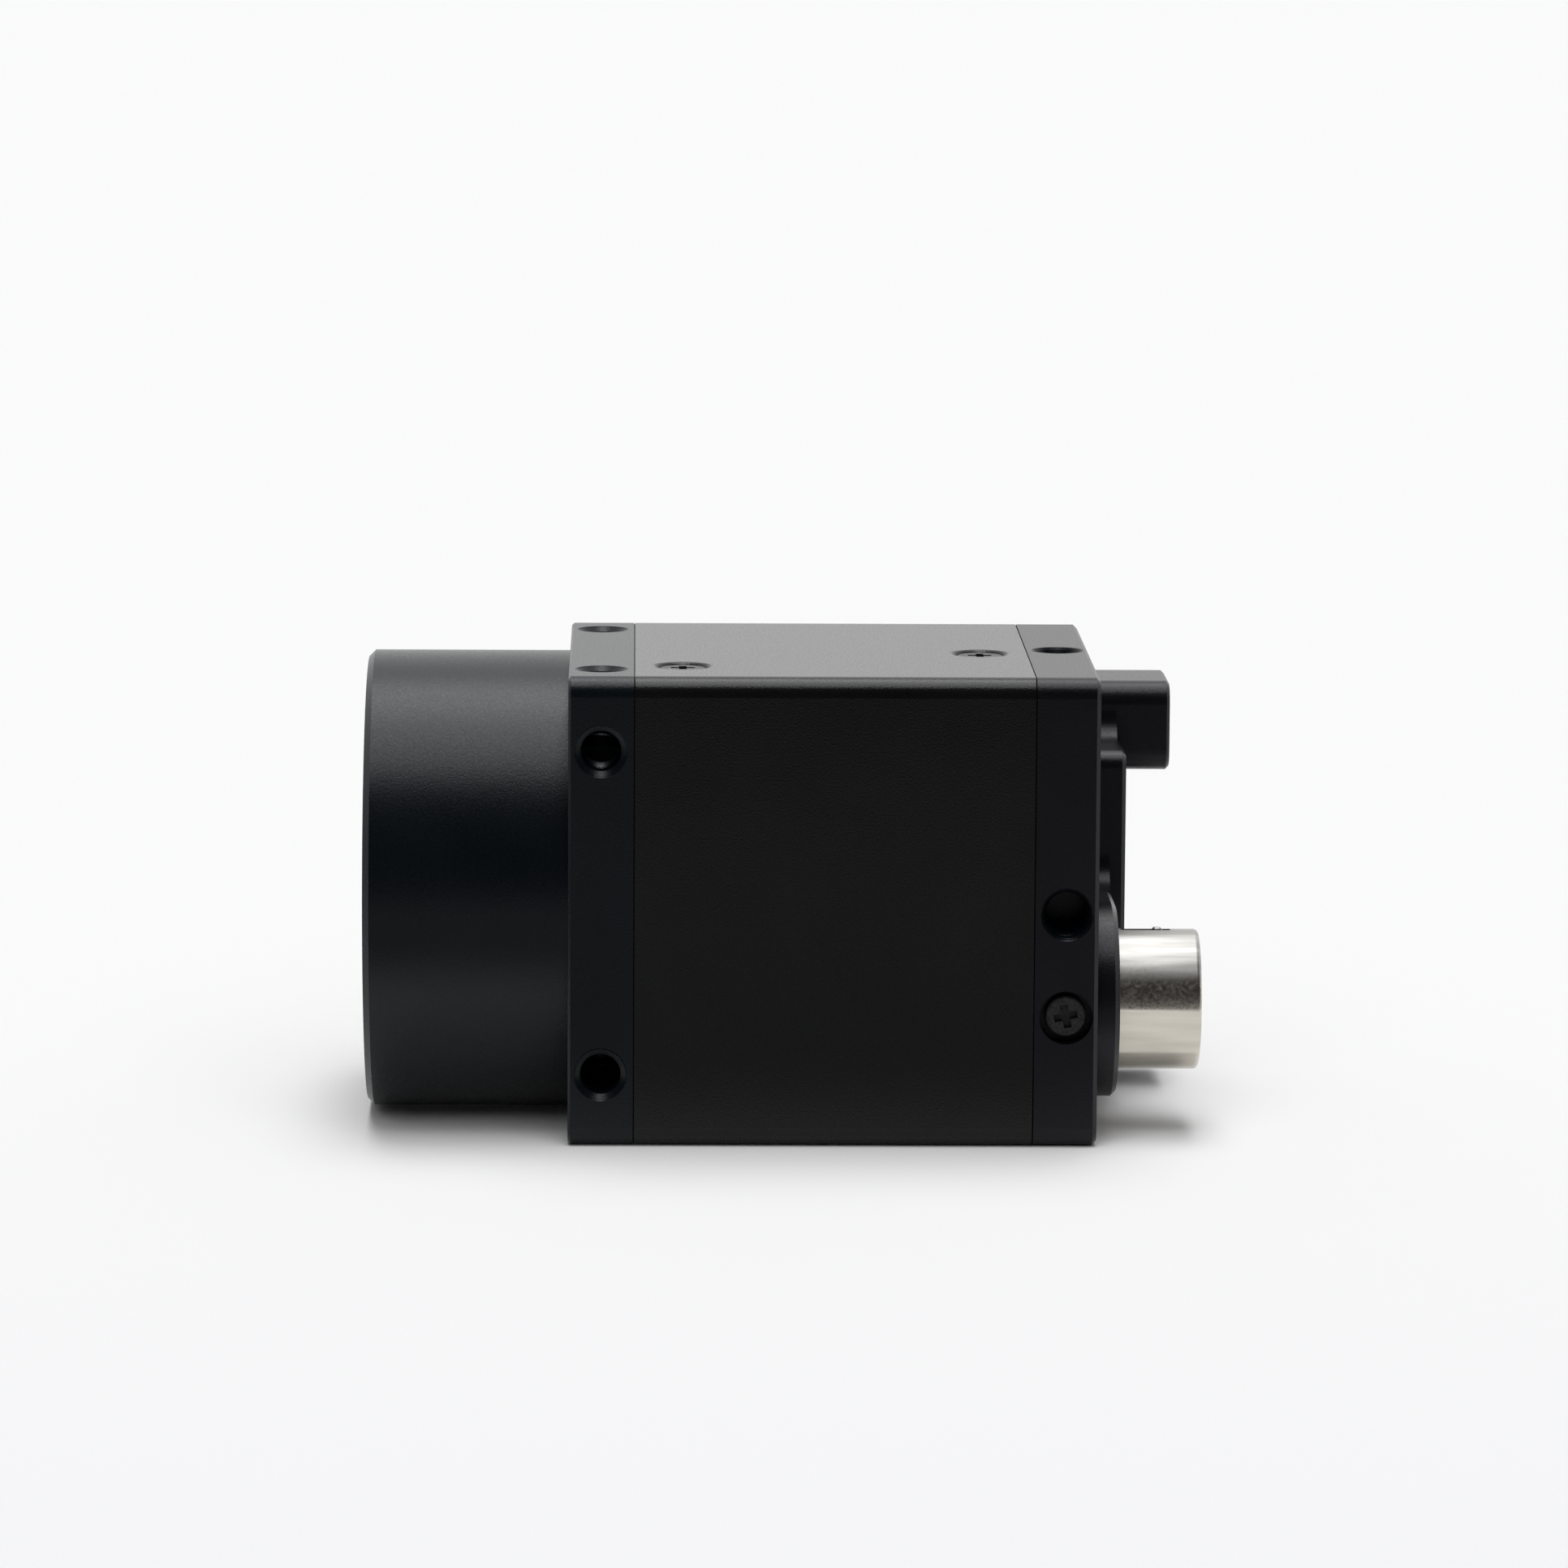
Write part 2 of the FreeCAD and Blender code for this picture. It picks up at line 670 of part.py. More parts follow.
def make_connector_lock_screw():
    """Screw in the side of the rear plate that presses on the round connector."""
    shank = (
        f"{half_side} - Dim.lock_head_sink - Dim.lock_head_height"
        f" - {round_side} - Dim.round_radius + Dim.round_neck_step - Dim.screw_tip_gap"
    )
    screw = make_cross_screw("connector_lock_screw", "Dim.lock_head_radius", "Dim.lock_head_height", shank)
    upright = FreeCAD.Rotation(FreeCAD.Vector(1, 0, 0), 90)
    spun = FreeCAD.Rotation(FreeCAD.Vector(0, 0, 1), number("Dim.lock_turn"))
    screw.Placement = FreeCAD.Placement(FreeCAD.Vector(), upright.multiply(spun))
    screw.setExpression("Placement.Base.x", rear_hole_x)
    screw.setExpression("Placement.Base.y", f"-({half_side} - Dim.lock_head_sink)")
    screw.setExpression("Placement.Base.z", f"-{round_drop}")
    return screw


def make_filter_parts():
    """Filter glass on its gasket, held by a ring with two notches."""
    gasket_front = "(Dim.filter_seat_depth - Dim.filter_gasket_thickness)"
    glass_front = f"({gasket_front} - Dim.filter_thickness)"
    ring_front = f"({glass_front} - Dim.ring_thickness)"
    ring_outer = f"({ring_bore} - Dim.ring_gap)"

    gasket = new_body("filter_gasket")
    outline = new_sketch(gasket, "YZ_Plane", gasket_front)
    draw_circle(outline, "0", "0", filter_edge)
    draw_circle(outline, "0", "0", f"{filter_edge} - Dim.filter_gasket_width")
    pad(gasket, outline, "Dim.filter_gasket_thickness")

    glass = new_body("infrared_filter")
    outline = new_sketch(glass, "YZ_Plane", glass_front)
    draw_circle(outline, "0", "0", filter_edge)
    pad(glass, outline, "Dim.filter_thickness")

    ring = new_body("filter_retaining_ring")
    outline = new_sketch(ring, "YZ_Plane", ring_front)
    draw_circle(outline, "0", "0", ring_outer)
    draw_circle(outline, "0", "0", f"{ring_outer} - Dim.ring_width")
    pad(ring, outline, "Dim.ring_thickness")
    notches = new_sketch(ring, "YZ_Plane", ring_front)
    half = "Dim.ring_notch_width / 2"
    draw_rectangle(notches, f"-{ring_outer} - 1", f"{ring_outer} + 1", f"-{half}", half)
    cut(ring, notches, "Dim.ring_notch_depth", backwards=True)
    return [gasket, glass, ring]


def make_image_sensor():
    """Package with its open tray, the die in it and the glass on its rim."""
    package = new_body("sensor_package")
    front = f"({sensor_board_front} - Dim.sensor_thickness)"
    wide, tall = "Dim.sensor_width / 2", "Dim.sensor_height / 2"
    outline = new_sketch(package, "YZ_Plane", front)
    draw_rectangle(outline, f"-{wide}", wide, f"-{tall}", tall)
    pad(package, outline, "Dim.sensor_thickness")
    tray = new_sketch(package, "YZ_Plane", front)
    inner_wide, inner_tall = f"({wide} - Dim.sensor_rim)", f"({tall} - Dim.sensor_rim)"
    draw_rectangle(tray, f"-{inner_wide}", inner_wide, f"-{inner_tall}", inner_tall)
    cut(package, tray, "Dim.sensor_thickness - Dim.sensor_floor", backwards=True)

    die = new_box(
        "sensor_die",
        ("Dim.flange_distance", "-Dim.die_width / 2", "-Dim.die_height / 2"),
        (die_back, "Dim.die_width / 2", "Dim.die_height / 2"),
    )
    glass_wide, glass_tall = f"({wide} - Dim.cover_glass_margin)", f"({tall} - Dim.cover_glass_margin)"
    glass = new_box(
        "sensor_cover_glass",
        (f"{front} - Dim.cover_glass_thickness", f"-{glass_wide}", f"-{glass_tall}"),
        (front, glass_wide, glass_tall),
    )
    return [package, die, glass]


def make_board(name, front, thickness, half):
    board = new_body(name)
    outline = new_sketch(board, "YZ_Plane", front)
    draw_square(outline, half)
    for across, up in corner_places(board_hole_place):
        draw_circle(outline, across, up, "Dim.board_hole_radius")
    pad(board, outline, thickness)
    return board


def make_boards():
    return [
        make_board(
            "sensor_board", sensor_board_front, "Dim.sensor_board_thickness",
            f"({spigot_inner} - Dim.sensor_board_gap)",
        ),
        make_board(
            "processor_board", processor_board_front, "Dim.processor_board_thickness",
            inner_board_half,
        ),
        make_board(
            "interface_board", interface_board_front, "Dim.interface_board_thickness",
            inner_board_half,
        ),
    ]


def draw_at_corners(body, start, radius):
    sketch = new_sketch(body, "YZ_Plane", start)
    for across, up in corner_places(board_hole_place):
        draw_circle(sketch, across, up, radius)
    return sketch


def make_standoffs(name, front, length):
    """Four spacers, each with a stud forwards and a threaded hole behind."""
    body = new_body(name)
    pad(body, draw_at_corners(body, front, "Dim.standoff_radius"), length)
    pad(body, draw_at_corners(body, f"{front} - Dim.stud_length", "Dim.stud_radius"), "Dim.stud_length")
    hole_depth = "Dim.stud_length - Dim.processor_board_thickness + Dim.stud_hole_gap"
    cut(body, draw_at_corners(body, f"{front} + {length}", "Dim.stud_hole_radius"), hole_depth)
    return body


def make_board_screws():
    """Four screws through the interface board into the rear standoffs."""
    body = new_body("board_screws")
    pad(body, draw_at_corners(body, interface_board_back, "Dim.standoff_radius"), "Dim.board_screw_head")
    shank = "Dim.stud_length - Dim.stud_hole_gap"
    pad(body, draw_at_corners(body, f"{interface_board_back} - ({shank})", "Dim.stud_radius"), shank)
    return body


def make_board_parts():
    """What sits on the three boards."""
    chip_front = f"({processor_board_front} - Dim.processor_thickness)"
    pad_front = f"({chip_front} - Dim.thermal_pad_thickness)"
    half_chip = "Dim.processor_side / 2"
    chip = new_box(
        "processor_chip",
        (chip_front, f"-{half_chip}", f"-{half_chip}"),
        (processor_board_front, half_chip, half_chip),
    )
    half_pad = "Dim.thermal_pad_side / 2"
    thermal_pad = new_box(
        "thermal_pad", (pad_front, f"-{half_pad}", f"-{half_pad}"), (chip_front, half_pad, half_pad)
    )
    link_inner, link_outer = "Dim.link_place - Dim.link_width / 2", "Dim.link_place + Dim.link_width / 2"
    links = [
        new_box(name, (front, link_inner, "-Dim.link_length / 2"), (back, link_outer, "Dim.link_length / 2"))
        for name, front, back in (
            ("sensor_link_connector", sensor_board_back, processor_board_front),
            ("interface_link_connector", processor_board_back, interface_board_front),
        )
    ]
    memories = [
        new_box(
            f"memory_{side}",
            (
                processor_board_back,
                "Dim.memory_side - Dim.memory_width / 2",
                f"{sign} * Dim.memory_pitch / 2 - Dim.memory_height / 2",
            ),
            (
                f"{processor_board_back} + Dim.memory_thickness",
                "Dim.memory_side + Dim.memory_width / 2",
                f"{sign} * Dim.memory_pitch / 2 + Dim.memory_height / 2",
            ),
        )
        for side, sign in (("upper", 1), ("lower", -1))
    ]
    coils = [
        new_box(
            f"coil_{side}",
            (
                processor_board_back,
                "-Dim.coil_place - Dim.coil_side / 2",
                f"{sign} * Dim.coil_pitch / 2 - Dim.coil_side / 2",
            ),
            (
                f"{processor_board_back} + Dim.coil_height",
                "-Dim.coil_place + Dim.coil_side / 2",
                f"{sign} * Dim.coil_pitch / 2 + Dim.coil_side / 2",
            ),
        )
        for side, sign in (("upper", 1), ("lower", -1))
    ]
    transformer = new_box(
        "line_transformer",
        (
            f"{interface_board_front} - Dim.transformer_thickness",
            "-Dim.transformer_place - Dim.transformer_width / 2",
            "-Dim.transformer_height / 2",
        ),
        (
            interface_board_front,
            "-Dim.transformer_place + Dim.transformer_width / 2",
            "Dim.transformer_height / 2",
        ),
    )
    led = new_box(
        "status_led",
        (interface_board_back, "-Dim.light_side - Dim.led_side / 2", f"{light_rise} - Dim.led_side / 2"),
        (
            f"{interface_board_back} + Dim.led_thickness",
            "-Dim.light_side + Dim.led_side / 2",
            f"{light_rise} + Dim.led_side / 2",
        ),
    )
    groups = [new_group("memory_chips", memories), new_group("power_coils", coils)]
    return [chip, thermal_pad, *links, *groups, transformer, led]


def make_heat_spreader():
    """Bent sheet that takes heat from the processor to the cover, above and below."""
    body = new_body("heat_spreader")
    back = f"({processor_board_front} - Dim.processor_thickness - Dim.thermal_pad_thickness)"
    front = f"({back} - Dim.spreader_thickness)"
    flange_end = f"({front} + Dim.spreader_flange)"
    inner = f"({spigot_outer} - Dim.spreader_thickness)"
    section = new_sketch(body, "XZ_Plane", "-Dim.spreader_width / 2")
    draw_polygon(section, [
        (front, f"-{spigot_outer}"), (flange_end, f"-{spigot_outer}"),
        (flange_end, f"-{inner}"), (back, f"-{inner}"),
        (back, inner), (flange_end, inner),
        (flange_end, spigot_outer), (front, spigot_outer),
    ])
    pad(body, section, "Dim.spreader_width")
    return body


def make_light_pipe():
    body = new_body("light_pipe")
    start = f"({interface_board_back} + Dim.led_thickness + Dim.light_led_gap)"
    rod = new_sketch(body, "YZ_Plane", start)
    draw_circle(rod, "-Dim.light_side", light_rise, "Dim.light_radius")
    pad(body, rod, f"{rear_face} - Dim.light_end_sink - {start}")
    collar = new_sketch(body, "YZ_Plane", f"{rear_seam} - Dim.light_collar_length")
    draw_circle(collar, "-Dim.light_side", light_rise, "Dim.light_collar_radius")
    pad(body, collar, "Dim.light_collar_length")
    return body


def make_data_port():
    """Jack of the data port: sheet shield, moulded housing and eight spring contacts."""
    shield = new_body("data_port_shield")
    outline = new_sketch(shield, "YZ_Plane", interface_board_back)
    draw_rectangle(outline, port_near, port_far, "-Dim.port_half_width", "Dim.port_half_width")
    pad(shield, outline, f"{port_front} - {interface_board_back}")
    room = new_sketch(shield, "YZ_Plane", interface_board_back)
    draw_rectangle(
        room, f"{port_near} + Dim.port_sheet", f"{port_far} - Dim.port_sheet",
        "-(Dim.port_half_width - Dim.port_sheet)", "Dim.port_half_width - Dim.port_sheet",
    )
    cut(shield, room, f"{port_front} - Dim.port_sheet - {interface_board_back}", backwards=True)
    mouth = new_sketch(shield, "YZ_Plane", port_front)
    draw_plug_outline(mouth)
    cut(shield, mouth, "Dim.port_sheet")

    housing = new_body("data_port_housing")
    outline = new_sketch(housing, "YZ_Plane", interface_board_back)
    draw_rectangle(
        outline, f"{port_near} + Dim.port_sheet", f"{port_far} - Dim.port_sheet",
        "-(Dim.port_half_width - Dim.port_sheet)", "Dim.port_half_width - Dim.port_sheet",
    )
    pad(housing, outline, f"{port_front} - Dim.port_sheet - {interface_board_back}")
    cavity = new_sketch(housing, "YZ_Plane", f"{port_front} - Dim.port_sheet")
    draw_plug_outline(cavity)
    cut(housing, cavity, "Dim.plug_depth")

    contacts = new_body("data_port_contacts")
    strip = new_sketch(contacts, "XY_Plane", "-3.5 * Dim.contact_pitch - Dim.contact_width / 2")
    tip = f"({plug_back} + Dim.contact_reach)"
    bend = f"({tip} - Dim.contact_slope)"
    low, high = plug_floor, f"({plug_floor} + Dim.contact_rise)"
    draw_polygon(strip, [
        (tip, low), (f"{tip} + Dim.contact_thickness", f"{low} + Dim.contact_thickness"),
        (bend, high), (plug_back, high),
        (plug_back, f"{high} - Dim.contact_thickness"), (bend, f"{high} - Dim.contact_thickness"),
    ])
    first = pad(contacts, strip, "Dim.contact_width")
    row = contacts.newObject("PartDesign::LinearPattern", "data_port_contacts_row")
    row.Originals = [first]
    row.Direction = (origin_part(contacts, "Z_Axis"), [""])
    row.setExpression("Length", "7 * Dim.contact_pitch")
    row.Occurrences = 8
    contacts.Tip = row
    doc.recompute()
    return [shield, housing, contacts]


def draw_plug_outline(sketch):
    """Outline of the socket with the slot for the plug's latch on its far side."""
    wide, slot = "Dim.plug_half_width", "Dim.latch_half_width"
    latch_top = f"({plug_ceiling} + Dim.latch_height)"
    draw_polygon(sketch, [
        (plug_floor, f"-{wide}"), (plug_ceiling, f"-{wide}"),
        (plug_ceiling, f"-{slot}"), (latch_top, f"-{slot}"),
        (latch_top, slot), (plug_ceiling, slot),
        (plug_ceiling, wide), (plug_floor, wide),
    ])


def make_round_connector():
    """Six-pin round connector: shell, gasket behind the plate, insert and pins."""
    across, up = f"-{round_side}", f"-{round_drop}"
    flange_back = f"({rear_seam} - Dim.round_gasket_thickness)"
    flange_front = f"({flange_back} - Dim.round_flange_length)"

    shell = new_body("round_connector_shell")
    neck = new_sketch(shell, "YZ_Plane", flange_front)
    draw_circle(neck, across, up, "Dim.round_radius - Dim.round_neck_step")
    pad(shell, neck, f"{pad_face} - {flange_front}")
    tube = new_sketch(shell, "YZ_Plane", pad_face)
    draw_circle(tube, across, up, "Dim.round_radius")
    pad(shell, tube, f"{shell_end} - {pad_face}")
    flange = new_sketch(shell, "YZ_Plane", flange_front)
    draw_circle(flange, across, up, "Dim.round_flange_radius")
    pad(shell, flange, "Dim.round_flange_length")
    bore = new_sketch(shell, "YZ_Plane", flange_front)
    draw_circle(bore, across, up, "Dim.round_inner_radius")
    cut(shell, bore, f"{shell_end} - {flange_front}", backwards=True)
    outer, inner = number("Dim.round_radius"), number("Dim.round_inner_radius")
    end = number(shell_end)
    soften(
        shell, "Chamfer", "Dim.round_edge",
        lambda edge: lies_at(edge, "X", end) and (is_circle_of(edge, outer) or is_circle_of(edge, inner)),
    )
    flat = new_sketch(shell, "YZ_Plane", pad_face)
    slope = "Dim.round_flat_angle * 1 deg"
    near, far = "-Dim.round_flat", "-(Dim.round_radius + 1)"
    span = "Dim.round_radius"
    corners = []
    for out, along in ((near, f"-{span}"), (near, span), (far, span), (far, f"-{span}")):
        corners.append((
            f"{across} + ({out}) * cos({slope}) - ({along}) * sin({slope})",
            f"{up} + ({out}) * sin({slope}) + ({along}) * cos({slope})",
        ))
    draw_polygon(flat, corners)
    cut(shell, flat, f"{shell_end} - {pad_face}", backwards=True)
    slot = new_sketch(shell, "XY_Plane", f"{up} + Dim.round_radius")
    start = f"({rear_face} + Dim.round_slot_start)"
    draw_rectangle(
        slot, start, f"{start} + Dim.round_slot_length",
        f"{across} - Dim.round_slot_width / 2", f"{across} + Dim.round_slot_width / 2",
    )
    cut(shell, slot, "Dim.round_radius - Dim.round_inner_radius + 0.5 * Dim.insert_gap")

    gasket = new_body("round_connector_gasket")
    ring = new_sketch(gasket, "YZ_Plane", flange_back)
    draw_circle(ring, across, up, "Dim.round_flange_radius")
    draw_circle(ring, across, up, "Dim.round_radius + Dim.round_hole_gap")
    pad(gasket, ring, "Dim.round_gasket_thickness")

    insert = new_body("round_connector_insert")
    outline = new_sketch(insert, "YZ_Plane", f"{insert_front} - Dim.insert_length")
    draw_circle(outline, across, up, "Dim.round_inner_radius - Dim.insert_gap")
    draw_pins(outline, "Dim.pin_radius + Dim.pin_gap")
    pad(insert, outline, "Dim.insert_length")

    pins = new_body("round_connector_pins")
    outline = new_sketch(pins, "YZ_Plane", interface_board_back)
    draw_pins(outline, "Dim.pin_radius")
    pad(pins, outline, f"{insert_front} + Dim.pin_reach - {interface_board_back}")
    tip = number(f"{insert_front} + Dim.pin_reach")
    soften(pins, "Chamfer", "Dim.pin_radius / 2", lambda edge: lies_at(edge, "X", tip))
    return [shell, gasket, insert, pins]


def draw_pins(sketch, radius):
    """Circles of the pins, evenly spaced on a ring."""
    count = int(number("Dim.pin_count"))
    for index in range(count):
        turn_text = f"({index} + 0.5) * 360 deg / {count}"
        draw_circle(
            sketch,
            f"-{round_side} + Dim.pin_ring_radius * cos({turn_text})",
            f"-{round_drop} + Dim.pin_ring_radius * sin({turn_text})",
            radius,
        )


def make_rear_housing():
    """Rear plate with its spigot, the raised pads of both connectors and the two horns."""
    body = new_body("rear_housing")
    rounded_block(body, rear_seam, "Dim.rear_plate", half_side, "Dim.corner_radius")
    back = number(rear_face)
    soften(body, "Chamfer", "Dim.rear_chamfer", lambda edge: lies_at(edge, "X", back))

    spigot_start = f"({rear_seam} - Dim.spigot_length)"
    spigot = new_sketch(body, "YZ_Plane", spigot_start)
    draw_square(spigot, spigot_outer)
    pad(body, spigot, "Dim.spigot_length")
    place = number(spigot_outer)
    soften(
        body, "Fillet", "Dim.cover_inner_radius",
        lambda edge: is_along_x(edge) and abs(abs(edge.Vertexes[0].Y) - place) < 1e-4
        and abs(abs(edge.Vertexes[0].Z) - place) < 1e-4,
    )
    add_round_pad(body)
    add_port_pad(body)
    add_horns(body)
    cut_rear_rooms(body, spigot_start)
    cut_rear_holes(body)
    cut_screw_holes(body, f"{rear_seam} - Dim.cover_screw_inset", "-Dim.rear_screw_side")
    return body


def add_round_pad(body):
    """Low pad round the round connector. A ledge leads its top over to the data port's pad."""
    outline = new_sketch(body, "YZ_Plane", rear_face)
    top = f"(-{round_drop} + Dim.round_pad_radius)"
    corners = [
        (f"-{round_side}", top),
        (port_near, top),
        (port_near, f"-{round_drop}"),
        (f"-{round_side} + Dim.round_pad_radius", f"-{round_drop}"),
    ]
    spots = [FreeCAD.Vector(number(a), number(b), 0) for a, b in corners]
    lines = [outline.addGeometry(Part.LineSegment(a, b)) for a, b in zip(spots, spots[1:])]
    for before, after in zip(lines, lines[1:]):
        outline.addConstraint(Sketcher.Constraint("Coincident", before, 2, after, 1))
    close_arc(outline, lines[2], lines[0], (f"-{round_side}", f"-{round_drop}"), turn_angle=270)
    for line, corner in zip(lines, corners):
        tie_point(outline, line, 1, *corner)
    tie_point(outline, lines[2], 2, *corners[3])
    pad(body, outline, "Dim.round_pad_height")
    face = number(pad_face)
    soften(body, "Chamfer", "Dim.round_pad_chamfer", lambda edge: lies_at(edge, "X", face))


def add_port_pad(body):
    """High pad round the data port, with a cove down to the ledge of the low pad."""
    near, wide = port_pad_near, "Dim.port_pad_half_width"
    outline = new_sketch(body, "YZ_Plane", rear_face)
    draw_rounded_rectangle(outline, near, port_pad_far, f"-{wide}", wide, "Dim.port_pad_corner")
    pad(body, outline, "Dim.port_pad_height")
    face = number(f"{rear_face} + Dim.port_pad_height")
    soften(body, "Chamfer", "Dim.port_pad_chamfer", lambda edge: lies_at(edge, "X", face))
    cove = new_sketch(body, "YZ_Plane", rear_face)
    ledge = f"(-{round_drop} + Dim.round_pad_radius)"
    draw_cove(cove, near, ledge, "Dim.round_pad_cove", -1, 1)
    pad(body, cove, "Dim.round_pad_height")


def add_horns(body):
    """Two horns that stand beside the data port, each with a cove at its root."""
    for sign in (1, -1):
        outline = new_sketch(body, "YZ_Plane", rear_face)
        low, high = sorted((f"{sign} * Dim.horn_inner", f"{sign} * Dim.horn_outer"), key=number)
        draw_rounded_rectangle(outline, horn_near, port_pad_far, low, high, "Dim.horn_radius")
        pad(body, outline, "Dim.horn_height")
    end = number(f"{rear_face} + Dim.horn_height")
    soften(body, "Chamfer", "Dim.horn_chamfer", lambda edge: lies_at(edge, "X", end))
    for sign in (1, -1):
        cove = new_sketch(body, "YZ_Plane", rear_face)
        draw_cove(cove, horn_near, f"{sign} * Dim.port_pad_half_width", "Dim.horn_cove", -1, sign)
        pad(body, cove, "Dim.port_pad_height - Dim.port_pad_chamfer")


def cut_rear_rooms(body, spigot_start):
    """Room inside the spigot, for the jack and for the flange of the round connector."""
    inside = new_sketch(body, "YZ_Plane", spigot_start)
    draw_square(inside, spigot_inner)
    cut(body, inside, "Dim.spigot_length", backwards=True)

    jack = new_sketch(body, "YZ_Plane", spigot_start)
    wide = "(Dim.port_half_width + Dim.port_pocket_gap)"
    draw_rectangle(
        jack, f"{port_near} - Dim.port_pocket_gap", f"{port_far} + Dim.port_pocket_gap", f"-{wide}", wide
    )
    cut(body, jack, f"{rear_face} - Dim.port_skin - {spigot_start}", backwards=True)

    flange = new_sketch(body, "YZ_Plane", spigot_start)
    radius = "Dim.round_flange_radius + Dim.round_relief_gap"
    draw_circle(flange, f"-{round_side}", f"-{round_drop}", radius)
    cut(body, flange, "Dim.spigot_length", backwards=True)

    mouth = new_sketch(body, "YZ_Plane", f"{rear_face} + Dim.port_pad_height")
    wide, margin = "Dim.port_mouth_half_width", "Dim.port_mouth_margin"
    draw_rectangle(mouth, f"{port_near} + {margin}", f"{port_far} - {margin}", f"-{wide}", wide)
    cut(body, mouth, "Dim.port_pad_height + Dim.port_skin")


def cut_rear_holes(body):
    """Bores for the round connector and light pipe, and the threaded holes."""
    through = new_sketch(body, "YZ_Plane", rear_seam)
    draw_circle(through, f"-{round_side}", f"-{round_drop}", "Dim.round_radius + Dim.round_hole_gap")
    draw_circle(through, "-Dim.light_side", light_rise, "Dim.light_radius + Dim.light_hole_gap")
    cut(body, through, f"{pad_face} - {rear_seam}", backwards=True)

    seat = new_sketch(body, "XZ_Plane", half_side)
    draw_circle(seat, rear_hole_x, f"-{round_drop}", "Dim.lock_head_radius + Dim.lock_seat_gap")
    cut(body, seat, "Dim.lock_head_sink + Dim.lock_head_height")
    shank = new_sketch(body, "XZ_Plane", half_side)
    draw_circle(shank, rear_hole_x, f"-{round_drop}", "Dim.screw_shank_radius + Dim.screw_hole_gap")
    cut(body, shank, f"{half_side} - {round_side}")

    side = new_sketch(body, "XZ_Plane", half_side)
    draw_circle(side, rear_hole_x, "0", "Dim.side_hole_radius")
    drill(body, side, "Dim.side_hole_radius", "Dim.side_hole_mouth_radius", "Dim.rear_hole_depth")
    top = new_sketch(body, "XY_Plane", half_side)
    draw_circle(top, rear_hole_x, "0", "Dim.side_hole_radius")
    hole = drill(body, top, "Dim.side_hole_radius", "Dim.side_hole_mouth_radius", "Dim.rear_hole_depth")
    below = body.newObject("PartDesign::Mirrored", "rear_housing_hole_below")
    below.Originals = [hole]
    below.MirrorPlane = (origin_part(body, "XY_Plane"), [""])
    body.Tip = below
    doc.recompute()

    horns = new_sketch(body, "YZ_Plane", f"{rear_face} + Dim.horn_height")
    for sign in (1, -1):
        draw_circle(
            horns, f"({horn_near} + {port_pad_far}) / 2", f"{sign} * (Dim.horn_inner + Dim.horn_outer) / 2",
            "Dim.horn_hole_radius",
        )
    drill(body, horns, "Dim.horn_hole_radius", "Dim.horn_hole_mouth_radius", "Dim.horn_hole_depth")


def check_document():
    """Stop if a feature has failed."""
    for item in doc.Objects:
        if "Invalid" in item.State or "Error" in item.State:
            raise RuntimeError(f"{item.Name} failed: {item.State}")


def main():
    parts = [
        make_front_housing(),
        make_main_cover(),
        make_rear_housing(),
        make_cover_screws(),
        make_connector_lock_screw(),
        *make_filter_parts(),
        *make_image_sensor(),
        *make_boards(),
        make_standoffs("front_standoffs", sensor_board_back, "Dim.front_standoff_length"),
        make_standoffs("rear_standoffs", processor_board_back, "Dim.rear_standoff_length"),
        make_board_screws(),
        *make_board_parts(),
        make_heat_spreader(),
        make_light_pipe(),
        *make_data_port(),
        *make_round_connector(),
    ]
    doc.recompute()
    check_document()
    for part in parts:
        shape = part.Shape
        if shape.isNull() or not shape.isValid():
            raise RuntimeError(part.Label + " has no sound shape")
    os.makedirs("parts", exist_ok=True)
    for part in parts:
        part.Shape.exportStep(f"parts/{part.Label}.step")
        print(f"{part.Label}: {len(part.Shape.Solids)} solids, {part.Shape.Volume:.1f} mm3")


main()
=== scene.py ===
"""Machine vision camera: finishes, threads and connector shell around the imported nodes, and their stage.

Sizes are in millimetres and turns in degrees where no comment says otherwise. The origin is the centre of
the lens flange, +X runs from the lens to the connectors, +Z is up and -Y is the near side.
"""
import json
import math

import bpy
from mathutils import Matrix, Vector


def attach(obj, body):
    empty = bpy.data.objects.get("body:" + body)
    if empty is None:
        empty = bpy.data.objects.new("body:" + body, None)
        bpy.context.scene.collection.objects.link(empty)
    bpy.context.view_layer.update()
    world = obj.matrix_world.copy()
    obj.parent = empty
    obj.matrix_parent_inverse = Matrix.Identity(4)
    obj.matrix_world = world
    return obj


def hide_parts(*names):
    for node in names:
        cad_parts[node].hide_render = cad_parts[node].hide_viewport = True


MM = 0.001

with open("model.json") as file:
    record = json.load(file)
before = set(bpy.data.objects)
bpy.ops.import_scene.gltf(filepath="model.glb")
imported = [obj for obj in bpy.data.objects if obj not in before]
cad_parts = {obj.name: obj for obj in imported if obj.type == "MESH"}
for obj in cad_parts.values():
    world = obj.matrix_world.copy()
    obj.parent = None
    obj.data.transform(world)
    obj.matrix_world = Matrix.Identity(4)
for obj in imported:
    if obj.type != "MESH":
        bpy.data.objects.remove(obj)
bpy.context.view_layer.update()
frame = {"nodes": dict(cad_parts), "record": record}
NODES = frame["nodes"]


# Shader nodes

def new_material(name):
    """An empty material with its shader and its output, joined."""
    material = bpy.data.materials.new(name)
    material.use_nodes = True
    tree = material.node_tree
    tree.nodes.clear()
    shader = tree.nodes.new("ShaderNodeBsdfPrincipled")
    output = tree.nodes.new("ShaderNodeOutputMaterial")
    tree.links.new(shader.outputs["BSDF"], output.inputs["Surface"])
    return material, tree, shader


